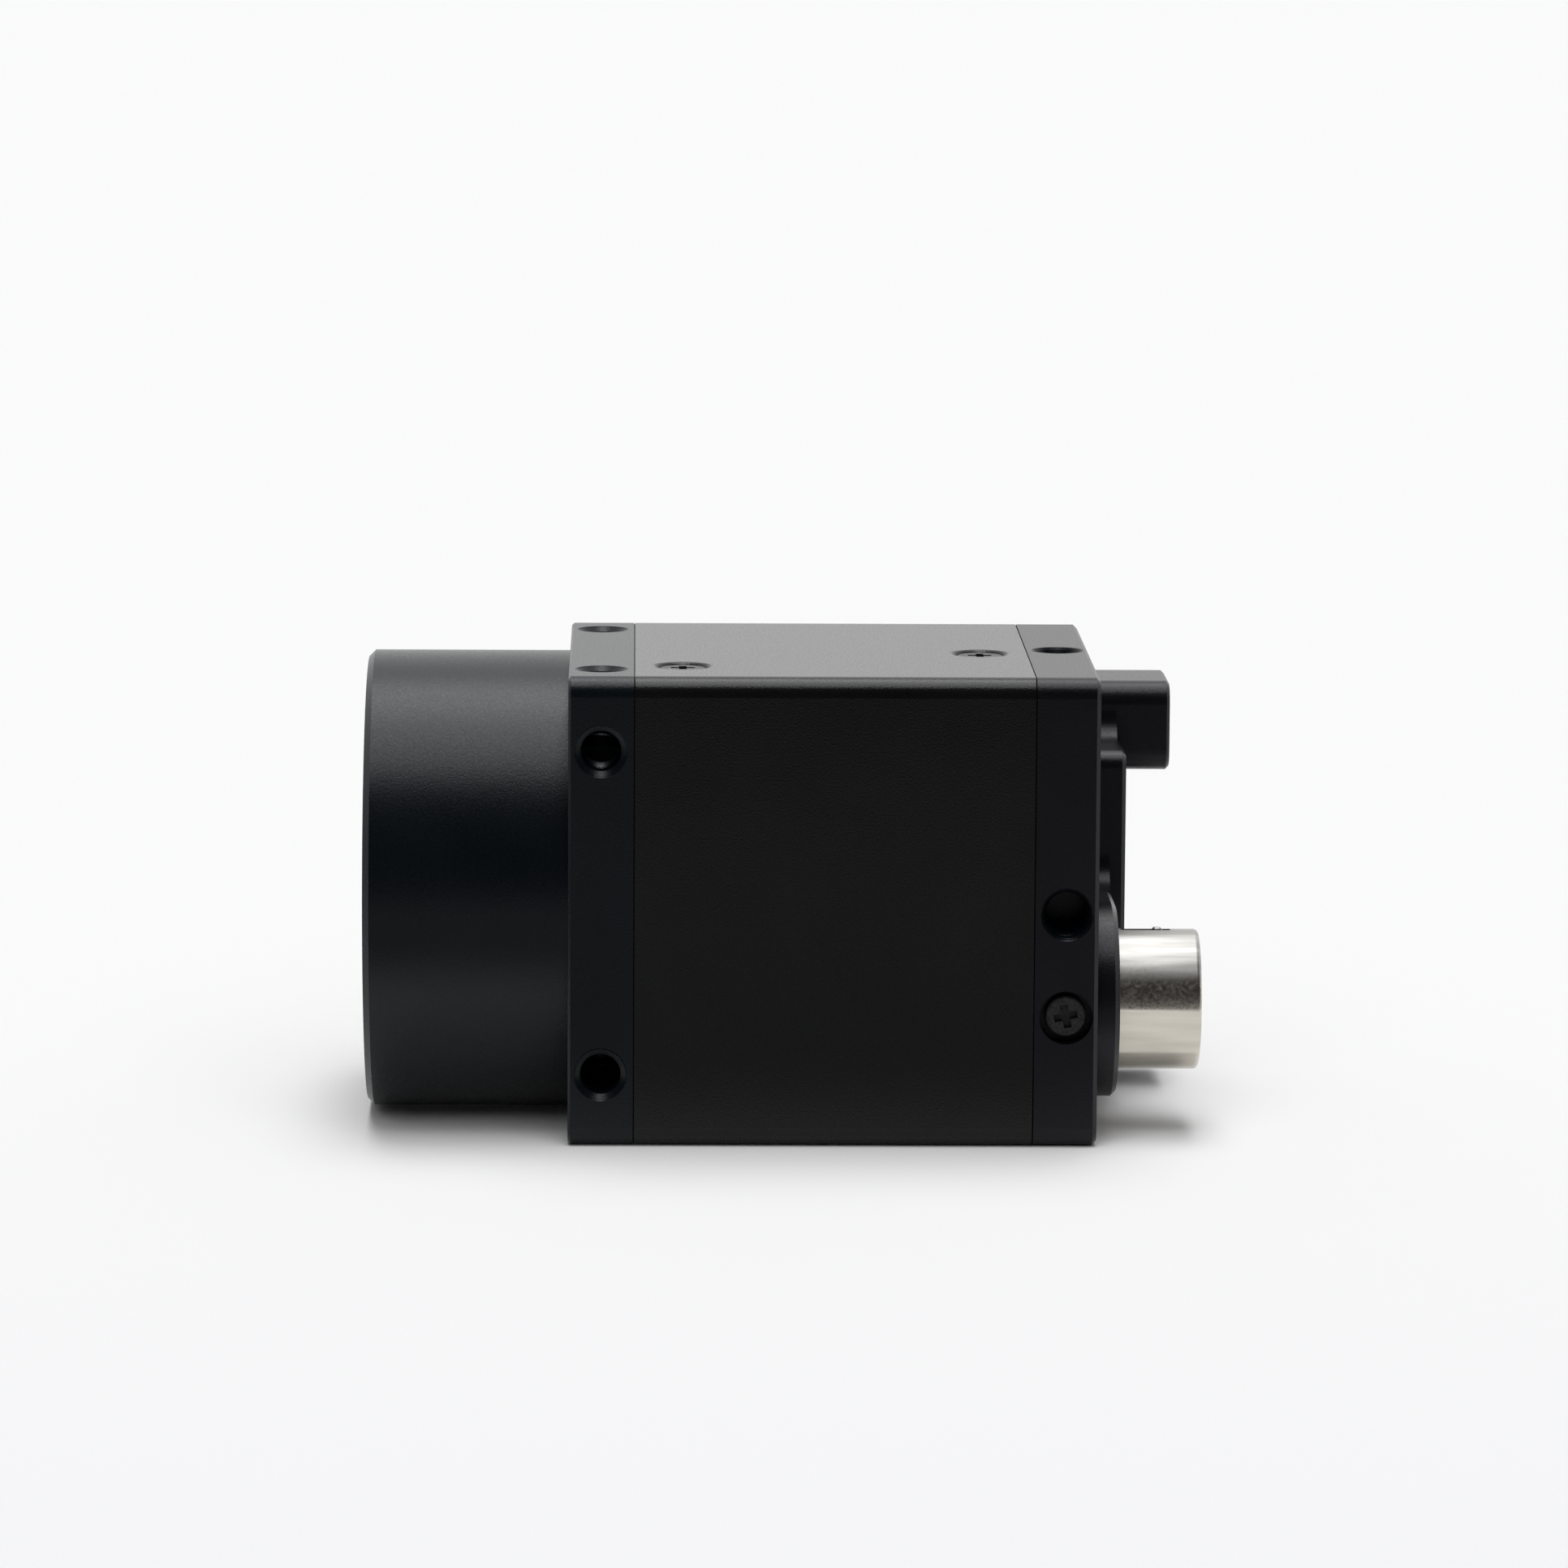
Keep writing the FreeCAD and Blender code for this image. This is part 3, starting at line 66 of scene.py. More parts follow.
def place_on_object(tree):
    """The surface's place in metres, which every pattern reads."""
    return tree.nodes.new("ShaderNodeTexCoord").outputs["Object"]


def coordinates(tree):
    """The X, Y and Z of the surface's place, in metres."""
    parts = tree.nodes.new("ShaderNodeSeparateXYZ")
    tree.links.new(place_on_object(tree), parts.inputs["Vector"])
    return parts.outputs


def noise(tree, scale, detail=2.0, stretch=None):
    """Noise whose scale is grains per millimetre."""
    place = place_on_object(tree)
    if stretch:
        mapping = tree.nodes.new("ShaderNodeMapping")
        mapping.inputs["Scale"].default_value = stretch
        tree.links.new(place, mapping.inputs["Vector"])
        place = mapping.outputs["Vector"]
    texture = tree.nodes.new("ShaderNodeTexNoise")
    texture.inputs["Scale"].default_value = scale / MM
    texture.inputs["Detail"].default_value = detail
    tree.links.new(place, texture.inputs["Vector"])
    return texture.outputs["Fac"]


def ramp(tree, value, low, high, start=0.3, end=0.7):
    """A colour between two values of a pattern."""
    scale = tree.nodes.new("ShaderNodeValToRGB")
    scale.color_ramp.elements[0].position = start
    scale.color_ramp.elements[1].position = end
    scale.color_ramp.elements[0].color = (*low, 1)
    scale.color_ramp.elements[1].color = (*high, 1)
    tree.links.new(value, scale.inputs["Fac"])
    return scale.outputs["Color"]


def range_of(tree, value, low, high, start=0.3, end=0.7):
    """A number between two values of a pattern."""
    change = tree.nodes.new("ShaderNodeMapRange")
    change.inputs["From Min"].default_value = start
    change.inputs["From Max"].default_value = end
    change.inputs["To Min"].default_value = low
    change.inputs["To Max"].default_value = high
    tree.links.new(value, change.inputs["Value"])
    return change.outputs["Result"]


def blend(tree, factor, first, second):
    """One colour or, where the factor is one, the other."""
    mix = tree.nodes.new("ShaderNodeMix")
    mix.data_type = "RGBA"
    tree.links.new(factor, mix.inputs["Factor"])
    for slot, value in (("A", first), ("B", second)):
        if isinstance(value, tuple):
            mix.inputs[slot].default_value = value
        else:
            tree.links.new(value, mix.inputs[slot])
    return mix.outputs["Result"]


def math_of(tree, operation, *values):
    """Arithmetic on sockets and numbers."""
    node = tree.nodes.new("ShaderNodeMath")
    node.operation = operation
    for place, value in enumerate(values):
        if isinstance(value, (int, float)):
            node.inputs[place].default_value = value
        else:
            tree.links.new(value, node.inputs[place])
    return node.outputs["Value"]


def roughen(tree, shader, value, strength, depth):
    """A bump, its depth in millimetres."""
    bump = tree.nodes.new("ShaderNodeBump")
    bump.inputs["Strength"].default_value = strength
    bump.inputs["Distance"].default_value = depth * MM
    tree.links.new(value, bump.inputs["Height"])
    tree.links.new(bump.outputs["Normal"], shader.inputs["Normal"])


# Finishes

BLACK_OXIDE_IOR = 1.36
GLASS_IOR = 1.5

# Z on the round connector: the flat's upper edge, the stains' fading and the start of the top's metal, which
# is painted darker to tone down the highlight of the lamps above
FLAT_EDGE_LOW, FLAT_EDGE_HIGH = -6.38, -6.3
STAIN_FADE, STAIN_END = -4.9, -3.4
DIMMED_TOP_START, DIMMED_TOP_FULL = -4.9, -4.3
NICKEL_STAIN = (0.22, 0.195, 0.17, 1)

# How far out from the middle the painted shade down in a cover screw's cross ends and its metal starts, and
# about how much deeper the lock screw sits
SHADE_END, METAL_START = 13.98, 14.24
LOCK_SCREW_SINK = 0.45
CROSS_PAINTED_SHADE = (0.004, 0.004, 0.004, 1)


def grained(name, low, high, grain, metallic, rough, bump=(0.1, 0.01), ior=1.5):
    """A surface with a fine grain in its roughness and height and a broad one in its colour."""
    material, tree, shader = new_material(name)
    fine = noise(tree, grain)
    broad = noise(tree, grain / 40, detail=3.0)
    tree.links.new(ramp(tree, broad, low, high), shader.inputs["Base Color"])
    tree.links.new(range_of(tree, fine, *rough), shader.inputs["Roughness"])
    shader.inputs["Metallic"].default_value = metallic
    shader.inputs["IOR"].default_value = ior
    roughen(tree, shader, fine, *bump)
    return material


def black_anodised(name, low, high, tint, rough):
    """Bead-blasted aluminium under a black oxide layer."""
    material = grained(name, low, high, 8.0, 0.0, rough, bump=(0.6, 0.02), ior=BLACK_OXIDE_IOR)
    shader = next(node for node in material.node_tree.nodes if node.type == "BSDF_PRINCIPLED")
    shader.inputs["Specular Tint"].default_value = (*tint, 1)
    return material


def worn_nickel():
    """Plated brass with streaks along it and, between the flat and the top, stains and rubs from plugs. Its
    top is painted darker to tone down the highlight of the lamps above.
    """
    material, tree, shader = new_material("worn_nickel")
    streaks = noise(tree, 1.5, detail=3.0, stretch=(0.1, 1, 1))
    flecks = noise(tree, 6.0, detail=6.0)
    rubs = noise(tree, 4.5, detail=6.0)
    patches = noise(tree, 0.45)
    height = coordinates(tree)["Z"]
    above_flat = range_of(tree, height, 0.0, 1.0, FLAT_EDGE_LOW * MM, FLAT_EDGE_HIGH * MM)
    below_top = range_of(tree, height, 1.0, 0.0, STAIN_FADE * MM, STAIN_END * MM)
    band = math_of(tree, "MULTIPLY", above_flat, below_top)
    worn = math_of(tree, "MULTIPLY", band, range_of(tree, patches, 0.3, 1.0, start=0.4, end=0.6))
    stained = math_of(tree, "MULTIPLY", worn, range_of(tree, flecks, 0.0, 1.0, start=0.36, end=0.74))
    rubbed = math_of(tree, "MULTIPLY", band, range_of(tree, rubs, 0.0, 1.0, start=0.34, end=0.74))
    side_metal = ramp(tree, streaks, (0.56, 0.525, 0.46), (0.66, 0.625, 0.555))
    # Painted shade: the top's metal colour is darker, to tone down the highlight of the lamps above
    painted_dim_top_metal = ramp(tree, streaks, (0.37, 0.362, 0.345), (0.5, 0.495, 0.48), start=0.4, end=0.62)
    upper = range_of(tree, height, 0.0, 1.0, DIMMED_TOP_START * MM, DIMMED_TOP_FULL * MM)
    clean = blend(tree, upper, side_metal, painted_dim_top_metal)
    tree.links.new(blend(tree, stained, clean, NICKEL_STAIN), shader.inputs["Base Color"])
    matt = math_of(tree, "MAXIMUM", rubbed, math_of(tree, "MULTIPLY", upper, 0.75))
    tree.links.new(range_of(tree, matt, 0.24, 0.48, start=0.0, end=1.0), shader.inputs["Roughness"])
    shader.inputs["Metallic"].default_value = 1.0
    roughen(tree, shader, flecks, 0.08, 0.008)
    return material


def recessed_screw():
    """Blackened steel, painted black down in the cross as the shade in the recess."""
    material, tree, shader = new_material("black_screw")
    grain = noise(tree, 7.0, detail=3.0)
    place = coordinates(tree)
    sideways = math_of(tree, "ADD", math_of(tree, "ABSOLUTE", place["Y"]), LOCK_SCREW_SINK * MM)
    outward = math_of(tree, "MAXIMUM", sideways, math_of(tree, "ABSOLUTE", place["Z"]))
    head = range_of(tree, outward, 0.0, 1.0, SHADE_END * MM, METAL_START * MM)
    metal = ramp(tree, grain, (0.016, 0.016, 0.017), (0.05, 0.05, 0.053))
    # Painted shade: the cross is black, standing in for the shadow down in the recess
    tree.links.new(blend(tree, head, CROSS_PAINTED_SHADE, metal), shader.inputs["Base Color"])
    tree.links.new(range_of(tree, grain, 0.32, 0.52), shader.inputs["Roughness"])
    tree.links.new(range_of(tree, head, 0.0, 0.6, start=0.0, end=1.0), shader.inputs["Metallic"])
    roughen(tree, shader, grain, 0.5, 0.02)
    return material


def clear_sheet(name, tint, roughness):
    """Glass or clear plastic, its tint a little uneven."""
    material, tree, shader = new_material(name)
    deeper = tuple(level * 0.97 for level in tint)
    tree.links.new(ramp(tree, noise(tree, 0.4), tint, deeper), shader.inputs["Base Color"])
    shader.inputs["Roughness"].default_value = roughness
    shader.inputs["Transmission Weight"].default_value = 1.0
    shader.inputs["IOR"].default_value = GLASS_IOR
    return material


def board_green():
    """Green lacquer on the circuit boards."""
    material, tree, shader = new_material("solder_mask")
    lacquer = ramp(tree, noise(tree, 0.7, detail=5.0), (0.004, 0.05, 0.025), (0.008, 0.085, 0.04))
    tree.links.new(lacquer, shader.inputs["Base Color"])
    shader.inputs["Roughness"].default_value = 0.35
    roughen(tree, shader, noise(tree, 2.0), 0.1, 0.02)
    return material


# A grained finish has its darkest and palest colour, grains per millimetre, metallic and roughness
MATERIALS = {
    "black_aluminium": black_anodised(
        "black_housing", (0.001, 0.0024, 0.0036), (0.0018, 0.0034, 0.005), (0.93, 0.97, 1.0), (0.26, 0.38)
    ),
    "nickel": worn_nickel(),
    "black_steel": recessed_screw(),
    "spring_gold": grained("contact_gold", (0.72, 0.47, 0.16), (0.83, 0.58, 0.24), 8.0, 1.0, (0.18, 0.3)),
    "standoff_brass": grained("standoff_brass", (0.5, 0.36, 0.14), (0.62, 0.46, 0.2), 8.0, 1.0, (0.25, 0.4)),
    "board_green": board_green(),
    "chip_black": grained(
        "moulded_chip", (0.012, 0.012, 0.013), (0.02, 0.02, 0.021), 14.0, 0.0, (0.5, 0.65)
    ),
    "connector_black": grained(
        "moulded_socket", (0.01, 0.01, 0.011), (0.017, 0.017, 0.018), 10.0, 0.0, (0.4, 0.5)
    ),
    "port_steel": grained("tinned_sheet", (0.4, 0.4, 0.39), (0.52, 0.52, 0.5), 6.0, 1.0, (0.25, 0.4)),
    "ceramic": grained("fired_ceramic", (0.2, 0.18, 0.15), (0.26, 0.24, 0.2), 12.0, 0.0, (0.5, 0.6)),
    "silicon": grained("silicon_die", (0.03, 0.035, 0.06), (0.045, 0.05, 0.08), 4.0, 0.3, (0.1, 0.15)),
    "clear_glass": clear_sheet("cover_glass", (0.95, 0.97, 0.96), 0.02),
    "filter_glass": clear_sheet("filter_glass", (0.7, 0.93, 0.92), 0.02),
    "grey_rubber": grained("seal_rubber", (0.02, 0.02, 0.021), (0.03, 0.03, 0.031), 10.0, 0.0, (0.6, 0.75)),
    "thermal_grey": grained("thermal_pad", (0.14, 0.16, 0.2), (0.18, 0.2, 0.24), 10.0, 0.0, (0.7, 0.8)),
    "bare_aluminium": grained("bent_sheet", (0.5, 0.5, 0.5), (0.6, 0.6, 0.6), 7.0, 1.0, (0.3, 0.4)),
    "clear_plastic": clear_sheet("light_pipe", (0.86, 0.9, 0.88), 0.12),
    "led_white": grained("lamp_package", (0.7, 0.7, 0.58), (0.78, 0.78, 0.66), 8.0, 0.0, (0.3, 0.4)),
    "coil_grey": grained("ferrite", (0.03, 0.03, 0.032), (0.045, 0.045, 0.047), 10.0, 0.0, (0.55, 0.7)),
}

# The cover and the rear come from other batches than the front
OTHER_BLACKS = {
    "main_cover": black_anodised(
        "black_cover", (0.0022, 0.0022, 0.0026), (0.0034, 0.0034, 0.0038), (0.99, 1.0, 1.0), (0.21, 0.29)
    ),
    "rear_housing": black_anodised(
        "black_rear", (0.002, 0.0021, 0.0034), (0.0032, 0.0033, 0.0052), (0.96, 0.96, 1.0), (0.28, 0.37)
    ),
}


def dress_nodes():
    """Give each node the material of its slot."""
    slots = {part["node"]: part["material_slot"] for part in frame["record"]["subparts"]}
    for name, piece in NODES.items():
        material = OTHER_BLACKS.get(name, MATERIALS[slots[name]])
        piece.data.materials.clear()
        piece.data.materials.append(material)


# Making pieces

# In metres
SAME_POINT = 1e-7


def start_piece(name, kind, **place):
    """A new primitive, alone in the selection."""
    bpy.ops.object.select_all(action="DESELECT")
    getattr(bpy.ops.mesh, f"primitive_{kind}_add")(**place)
    piece = bpy.context.object
    piece.name = name
    piece.data.name = name
    return piece


def finish_piece(piece, slot, smooth_angle):
    """Set the piece's place in its mesh, its finish and the body that it rides on."""
    bpy.ops.object.select_all(action="DESELECT")
    piece.select_set(True)
    bpy.context.view_layer.objects.active = piece
    bpy.ops.object.transform_apply(location=True, rotation=True, scale=True)
    bpy.ops.object.mode_set(mode="EDIT")
    bpy.ops.mesh.select_all(action="SELECT")
    bpy.ops.mesh.remove_doubles(threshold=SAME_POINT)
    bpy.ops.mesh.normals_make_consistent(inside=False)
    bpy.ops.object.mode_set(mode="OBJECT")
    bpy.ops.object.shade_smooth_by_angle(angle=math.radians(smooth_angle))
    piece.data.materials.clear()
    piece.data.materials.append(MATERIALS[slot])
    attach(piece, "root")


def add_modifier(piece, kind, **values):
    """Add a modifier with these values to the active piece and apply it."""
    modifier = piece.modifiers.new(kind.lower(), kind)
    for key, value in values.items():
        setattr(modifier, key, value)
    bpy.ops.object.modifier_apply(modifier=modifier.name)


def cut_with(piece, cutter):
    """Take the cutter's volume out of the piece and remove the cutter."""
    bpy.ops.object.select_all(action="DESELECT")
    piece.select_set(True)
    bpy.context.view_layer.objects.active = piece
    add_modifier(piece, "BOOLEAN", operation="DIFFERENCE", solver="EXACT", object=cutter)
    bpy.data.objects.remove(cutter)


def trace_outline(name, points):
    """A closed line through points of radius and height, selected in edit mode."""
    piece = start_piece(name, "plane", size=1)
    bpy.ops.object.mode_set(mode="EDIT")
    bpy.ops.mesh.select_mode(type="VERT")
    bpy.ops.mesh.select_all(action="SELECT")
    bpy.ops.mesh.merge(type="CENTER")
    places = [Vector((radius, 0, height)) * MM for radius, height in points]
    bpy.ops.transform.translate(value=places[0])
    for before, after in zip(places, places[1:]):
        bpy.ops.mesh.extrude_region_move(TRANSFORM_OT_translate={"value": after - before})
    bpy.ops.mesh.select_all(action="SELECT")
    bpy.ops.mesh.edge_face_add()
    bpy.ops.mesh.delete(type="ONLY_FACE")
    bpy.ops.mesh.select_all(action="SELECT")
    return piece


def spin_round(steps):
    """Turn the outline round the Z axis into a ring and leave edit mode."""
    bpy.ops.mesh.spin(steps=steps, angle=math.tau, center=(0, 0, 0), axis=(0, 0, 1))
    bpy.ops.mesh.select_all(action="SELECT")
    bpy.ops.mesh.remove_doubles(threshold=SAME_POINT)
    bpy.ops.mesh.normals_make_consistent(inside=False)
    bpy.ops.object.mode_set(mode="OBJECT")


def place_copy(pattern, name, place, axis, side=None):
    """A copy of a piece with its Z axis turned along the axis and, where given, its X axis to the side."""
    piece = bpy.data.objects.new(name, pattern.data.copy())
    piece.data.name = name
    bpy.context.collection.objects.link(piece)
    rise = Vector(axis)
    if side is None:
        turn = rise.to_track_quat("Z", "Y").to_matrix()
    else:
        turn = Matrix((side, rise.cross(side), rise)).transposed()
    piece.matrix_world = Matrix.Translation(Vector(place) * MM) @ turn.to_4x4()
    return piece


# Threads

# Radius of the wall, radius of the crest and pitch
M3_THREAD = (1.5, 1.25, 0.5)
M2_THREAD = (1.0, 0.8, 0.4)
LENS_THREAD = (12.7, 12.25, 0.79375)

# How far a ridge reaches into the wall, and the ends of its crest and of its foot in pitches
THREAD_BITE = 0.04
CREST_START, CREST_END, FOOT_END = 0.41, 0.53, 0.94

HALF_SIDE = 14.5
SIDES = {"near": (0, -1, 0), "far": (0, 1, 0), "top": (0, 0, 1), "bottom": (0, 0, -1)}

FRONT_HOLE_X = 14.6
HOLE_STEP = 10
FRONT_THREAD_DEPTH = 0.33
FRONT_THREAD_LENGTH = 4.5
FRONT_MOUTH_NARROW, FRONT_MOUTH_DEEP = 1.25, 0.25

REAR_HOLE_X = 43.15
REAR_THREAD_DEPTH = 0.8
REAR_THREAD_LENGTH = 3.5
REAR_MOUTH_NARROW, REAR_MOUTH_DEEP = 1.4, 0.3

MOUTH_WIDE = 1.56
MOUTH_DEPTH = 0.06
MOUTH_BACK = 0.08

HORN_HOLE_X, HORN_HOLE_Y, HORN_HOLE_Z = 50.5, 10.05, 8.8
HORN_THREAD_LENGTH = 4.4

LENS_THREAD_X = 0.45
LENS_THREAD_LENGTH = 4.76


def make_thread(name, wall, crest, pitch, length, steps=36):
    """The ridge of a thread, wound up the Z axis from the origin, its two ends closed."""
    root = wall + THREAD_BITE
    piece = trace_outline(
        name, [(root, 0), (crest, CREST_START * pitch), (crest, CREST_END * pitch), (root, FOOT_END * pitch)]
    )
    bpy.ops.object.mode_set(mode="OBJECT")
    turns = int(round(length / pitch)) - 1
    add_modifier(
        piece, "SCREW", axis="Z", screw_offset=pitch * MM, iterations=turns, angle=math.tau,
        steps=steps, render_steps=steps, use_merge_vertices=False,
    )
    bpy.ops.object.mode_set(mode="EDIT")
    bpy.ops.mesh.select_all(action="DESELECT")
    bpy.ops.mesh.select_mode(type="EDGE")
    bpy.ops.mesh.select_non_manifold()
    bpy.ops.mesh.edge_face_add()
    bpy.ops.mesh.select_all(action="SELECT")
    bpy.ops.mesh.normals_make_consistent(inside=False)
    bpy.ops.object.mode_set(mode="OBJECT")
    return piece


def open_to_crossing_hole(piece, depth):
    """Take away the ridge where another M3 hole crosses this one at that depth, from the X side."""
    wall = M3_THREAD[0]
    length = 6.0
    past_axis = 0.5
    cutter = start_piece(
        "crossing_hole", "cylinder", vertices=48, radius=wall * MM, depth=length * MM,
        location=((length / 2 - past_axis) * MM, 0, depth * MM), rotation=(0, math.radians(90), 0),
    )
    cut_with(piece, cutter)


def make_mouth(name, narrow, deep):
    """A hole's countersunk mouth: a ring that narrows from the face down towards the thread."""
    piece = trace_outline(name, [(MOUTH_WIDE, 0), (narrow, -deep), (MOUTH_WIDE, -deep - MOUTH_BACK)])
    spin_round(48)
    return piece


def front_holes():
    """Name, mouth, outward direction and the side of the crossing hole, for each hole in the front plate."""
    for name, direction in SIDES.items():
        out = Vector(direction)
        across = Vector((0, 0, 1)) if out.y else Vector((0, 1, 0))
        for mark, side in (("a", -across), ("b", across)):
            mouth = Vector((FRONT_HOLE_X, 0, 0)) + HALF_SIDE * out + HOLE_STEP * side
            yield f"front_{name}_{mark}", mouth, out, side


def make_front_threads():
    """M3 threads of the front plate. At each corner of the plate two holes cross."""
    ridge = make_thread("front_thread", *M3_THREAD, FRONT_THREAD_LENGTH)
    open_to_crossing_hole(ridge, HALF_SIDE - HOLE_STEP - FRONT_THREAD_DEPTH)
    mouth = make_mouth("front_mouth", FRONT_MOUTH_NARROW, FRONT_MOUTH_DEEP)
    for name, place, out, side in front_holes():
        thread = place_copy(ridge, f"thread_{name}", place - out * FRONT_THREAD_DEPTH, -out, side)
        finish_piece(thread, "black_aluminium", 70)
        ring = place_copy(mouth, f"mouth_{name}", place - out * MOUTH_DEPTH, out)
        finish_piece(ring, "black_aluminium", 40)
    bpy.data.objects.remove(ridge)
    bpy.data.objects.remove(mouth)


def make_rear_threads():
    """M3 threads of the rear plate, cut deeper below the surface than in front."""
    ridge = make_thread("rear_thread", *M3_THREAD, REAR_THREAD_LENGTH)
    mouth = make_mouth("rear_mouth", REAR_MOUTH_NARROW, REAR_MOUTH_DEEP)
    for side in ("near", "top", "bottom"):
        out = Vector(SIDES[side])
        place = Vector((REAR_HOLE_X, 0, 0)) + HALF_SIDE * out
        thread = place_copy(ridge, f"thread_rear_{side}", place - out * REAR_THREAD_DEPTH, -out)
        finish_piece(thread, "black_aluminium", 70)
        ring = place_copy(mouth, f"mouth_rear_{side}", place - out * MOUTH_DEPTH, out)
        finish_piece(ring, "black_aluminium", 40)
    bpy.data.objects.remove(ridge)
    bpy.data.objects.remove(mouth)


def make_horn_threads():
    """M2 threads of the two holes beside the data port, for a plug's screws."""
    ridge = make_thread("horn_thread", *M2_THREAD, HORN_THREAD_LENGTH)
    for name, rise in (("upper", HORN_HOLE_Z), ("lower", -HORN_HOLE_Z)):
        thread = place_copy(ridge, f"thread_horn_{name}", (HORN_HOLE_X, HORN_HOLE_Y, rise), (-1, 0, 0))
        finish_piece(thread, "black_aluminium", 70)
    bpy.data.objects.remove(ridge)


def make_lens_thread():
    """Thread of the lens mount, 32 turns to 25.4 mm."""
    ridge = make_thread("lens_thread_ridge", *LENS_THREAD, LENS_THREAD_LENGTH, steps=128)
    turns = place_copy(ridge, "lens_thread_turns", (LENS_THREAD_X, 0, 0), (1, 0, 0))
    finish_piece(turns, "black_aluminium", 30)
    bpy.data.objects.remove(ridge)


# Round connector

SHELL_PLACE = (0, -7.3, -6.4)
SHELL_BORE = 3.15
SHELL_FLANGE = 4.9
SHELL_NECK = 4.0
SHELL_FREE = 4.35
FLANGE_START_X, FLANGE_END_X = 39.4, 40.9
NECK_END_X = 46.5

# Radius and X of the middle of each rounded rim, and its rounding
OUTER_RIM = (4.05, 51.4, 0.3)
INNER_RIM = (3.3, 51.55, 0.15)
RIM_ANGLES = [math.radians(step) for step in (0, 18, 36, 54, 72, 90)]

# How far from the axis a cut starts, its turn, the X of its middle, and its size outward, across and along.
# The flat is turned below the near side, and the slot, which opens the wall, past the top
SHELL_FLAT = 4.07
SHELL_FLAT_TILT = 20
FLAT_X = 49.45
FLAT_CUT = (2, 8, 6)
SLOT_START = 3
SLOT_TILT = 5
SLOT_X = 48.42
SLOT_CUT = (4, 1.2, 3.05)

SPRING_SIZE = (0.62, 0.8, 1.3)
SPRING_ROUNDING = 0.2
SPRING_X = 49.15
SPRING_ASIDE, SPRING_RISE = 0.3, 3.82


def cut_box(piece, name, around, distance, height, size):
    """Cut away a box that reaches outward from that distance, turned by that angle round the Z axis."""
    middle = distance + size[0] / 2
    place = Vector((middle * math.cos(around), middle * math.sin(around), height)) * MM
    cutter = start_piece(name, "cube", size=MM, scale=size, location=place, rotation=(0, 0, around))
    cut_with(piece, cutter)


def make_connector_shell():
    """Shell of the round connector with rounded rims, a flat beside it and a slot on top."""
    outline = [
        (SHELL_BORE, FLANGE_START_X), (SHELL_FLANGE, FLANGE_START_X), (SHELL_FLANGE, FLANGE_END_X),
        (SHELL_NECK, FLANGE_END_X), (SHELL_NECK, NECK_END_X), (SHELL_FREE, NECK_END_X),
    ]
    radius, x, rounding = OUTER_RIM
    outline += [(radius + rounding * math.sin(a), x + rounding * math.cos(a)) for a in RIM_ANGLES[::-1]]
    radius, x, rounding = INNER_RIM
    outline += [(radius - rounding * math.sin(a), x + rounding * math.cos(a)) for a in RIM_ANGLES]
    shell = trace_outline("connector_shell", outline)
    spin_round(128)
    # Before the turn onto the X axis, the near side is -Y and the top is -X
    cut_box(shell, "flat", math.radians(SHELL_FLAT_TILT - 90), SHELL_FLAT, FLAT_X, FLAT_CUT)
    cut_box(shell, "slot", math.radians(180 - SLOT_TILT), SLOT_START, SLOT_X, SLOT_CUT)
    shell.rotation_euler = (0, math.radians(90), 0)
    shell.location = Vector(SHELL_PLACE) * MM
    finish_piece(shell, "nickel", 35)
    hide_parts("round_connector_shell")


def make_slot_spring():
    """Small bent end of the spring that shows in the shell's slot."""
    spring = start_piece("slot_spring", "cube", size=1, scale=[side * MM for side in SPRING_SIZE])
    bpy.ops.object.transform_apply(location=True, rotation=True, scale=True)
    bpy.ops.object.mode_set(mode="EDIT")
    bpy.ops.mesh.select_all(action="SELECT")
    bpy.ops.mesh.bevel(offset=SPRING_ROUNDING * MM, segments=4, affect="EDGES")
    bpy.ops.object.mode_set(mode="OBJECT")
    spring.location = Vector((SPRING_X, SHELL_PLACE[1] + SPRING_ASIDE, SHELL_PLACE[2] + SPRING_RISE)) * MM
    spring.rotation_euler = (math.radians(-SLOT_TILT), 0, 0)
    finish_piece(spring, "nickel", 60)


# Stage

# The floor's width, middle and height in metres, just under the object
FLOOR_SIZE = 8
FLOOR_MIDDLE = (0.03, 3.81)
FLOOR_Z = -HALF_SIDE * MM - 0.00002

# The floor's colour in front and behind, and the Y in metres between which it changes. The front is painted
# darker and bluer, as shade where less light falls.
FLOOR_FRONT, FLOOR_BACK = (0.798, 0.798, 0.808), (0.838, 0.838, 0.839)
FLOOR_FRONT_Y, FLOOR_BACK_Y = -0.13, 0.0

# The grey that the object mirrors of the floor: at two Y in metres, and at shares of the way between them.
# It is a painted reflection, dimmer in front where less light falls, with painted shadow in the dips close
# to the object.
MIRROR_FRONT_Y, MIRROR_BACK_Y = -0.12, -0.02
MIRROR_FRONT, MIRROR_BACK = 0.45, 0.85
MIRROR_SHADOW_DIPS = ((0.65, 0.28), (0.86, 0.2))

# The world as the eye and matt surfaces get it, and as a mirror sees it from front to back, by the ray's Y
EYE_WHITE = (0.947, 0.947, 0.947, 1)
MATT_GREY = (0.2, 0.2, 0.205, 1)
WORLD_FRONT, WORLD_BACK = 0.04, 1.12
WORLD_FRONT_Y, WORLD_BACK_Y = -0.16, 0.24

# How far down each narrow lamp shines, counted from level and to the back, and their width and strength
TOP_LIGHT_TURNS = (72, 92, 112)
TOP_LIGHT_SPREAD, TOP_LIGHT_STRENGTH = 24, 0.52

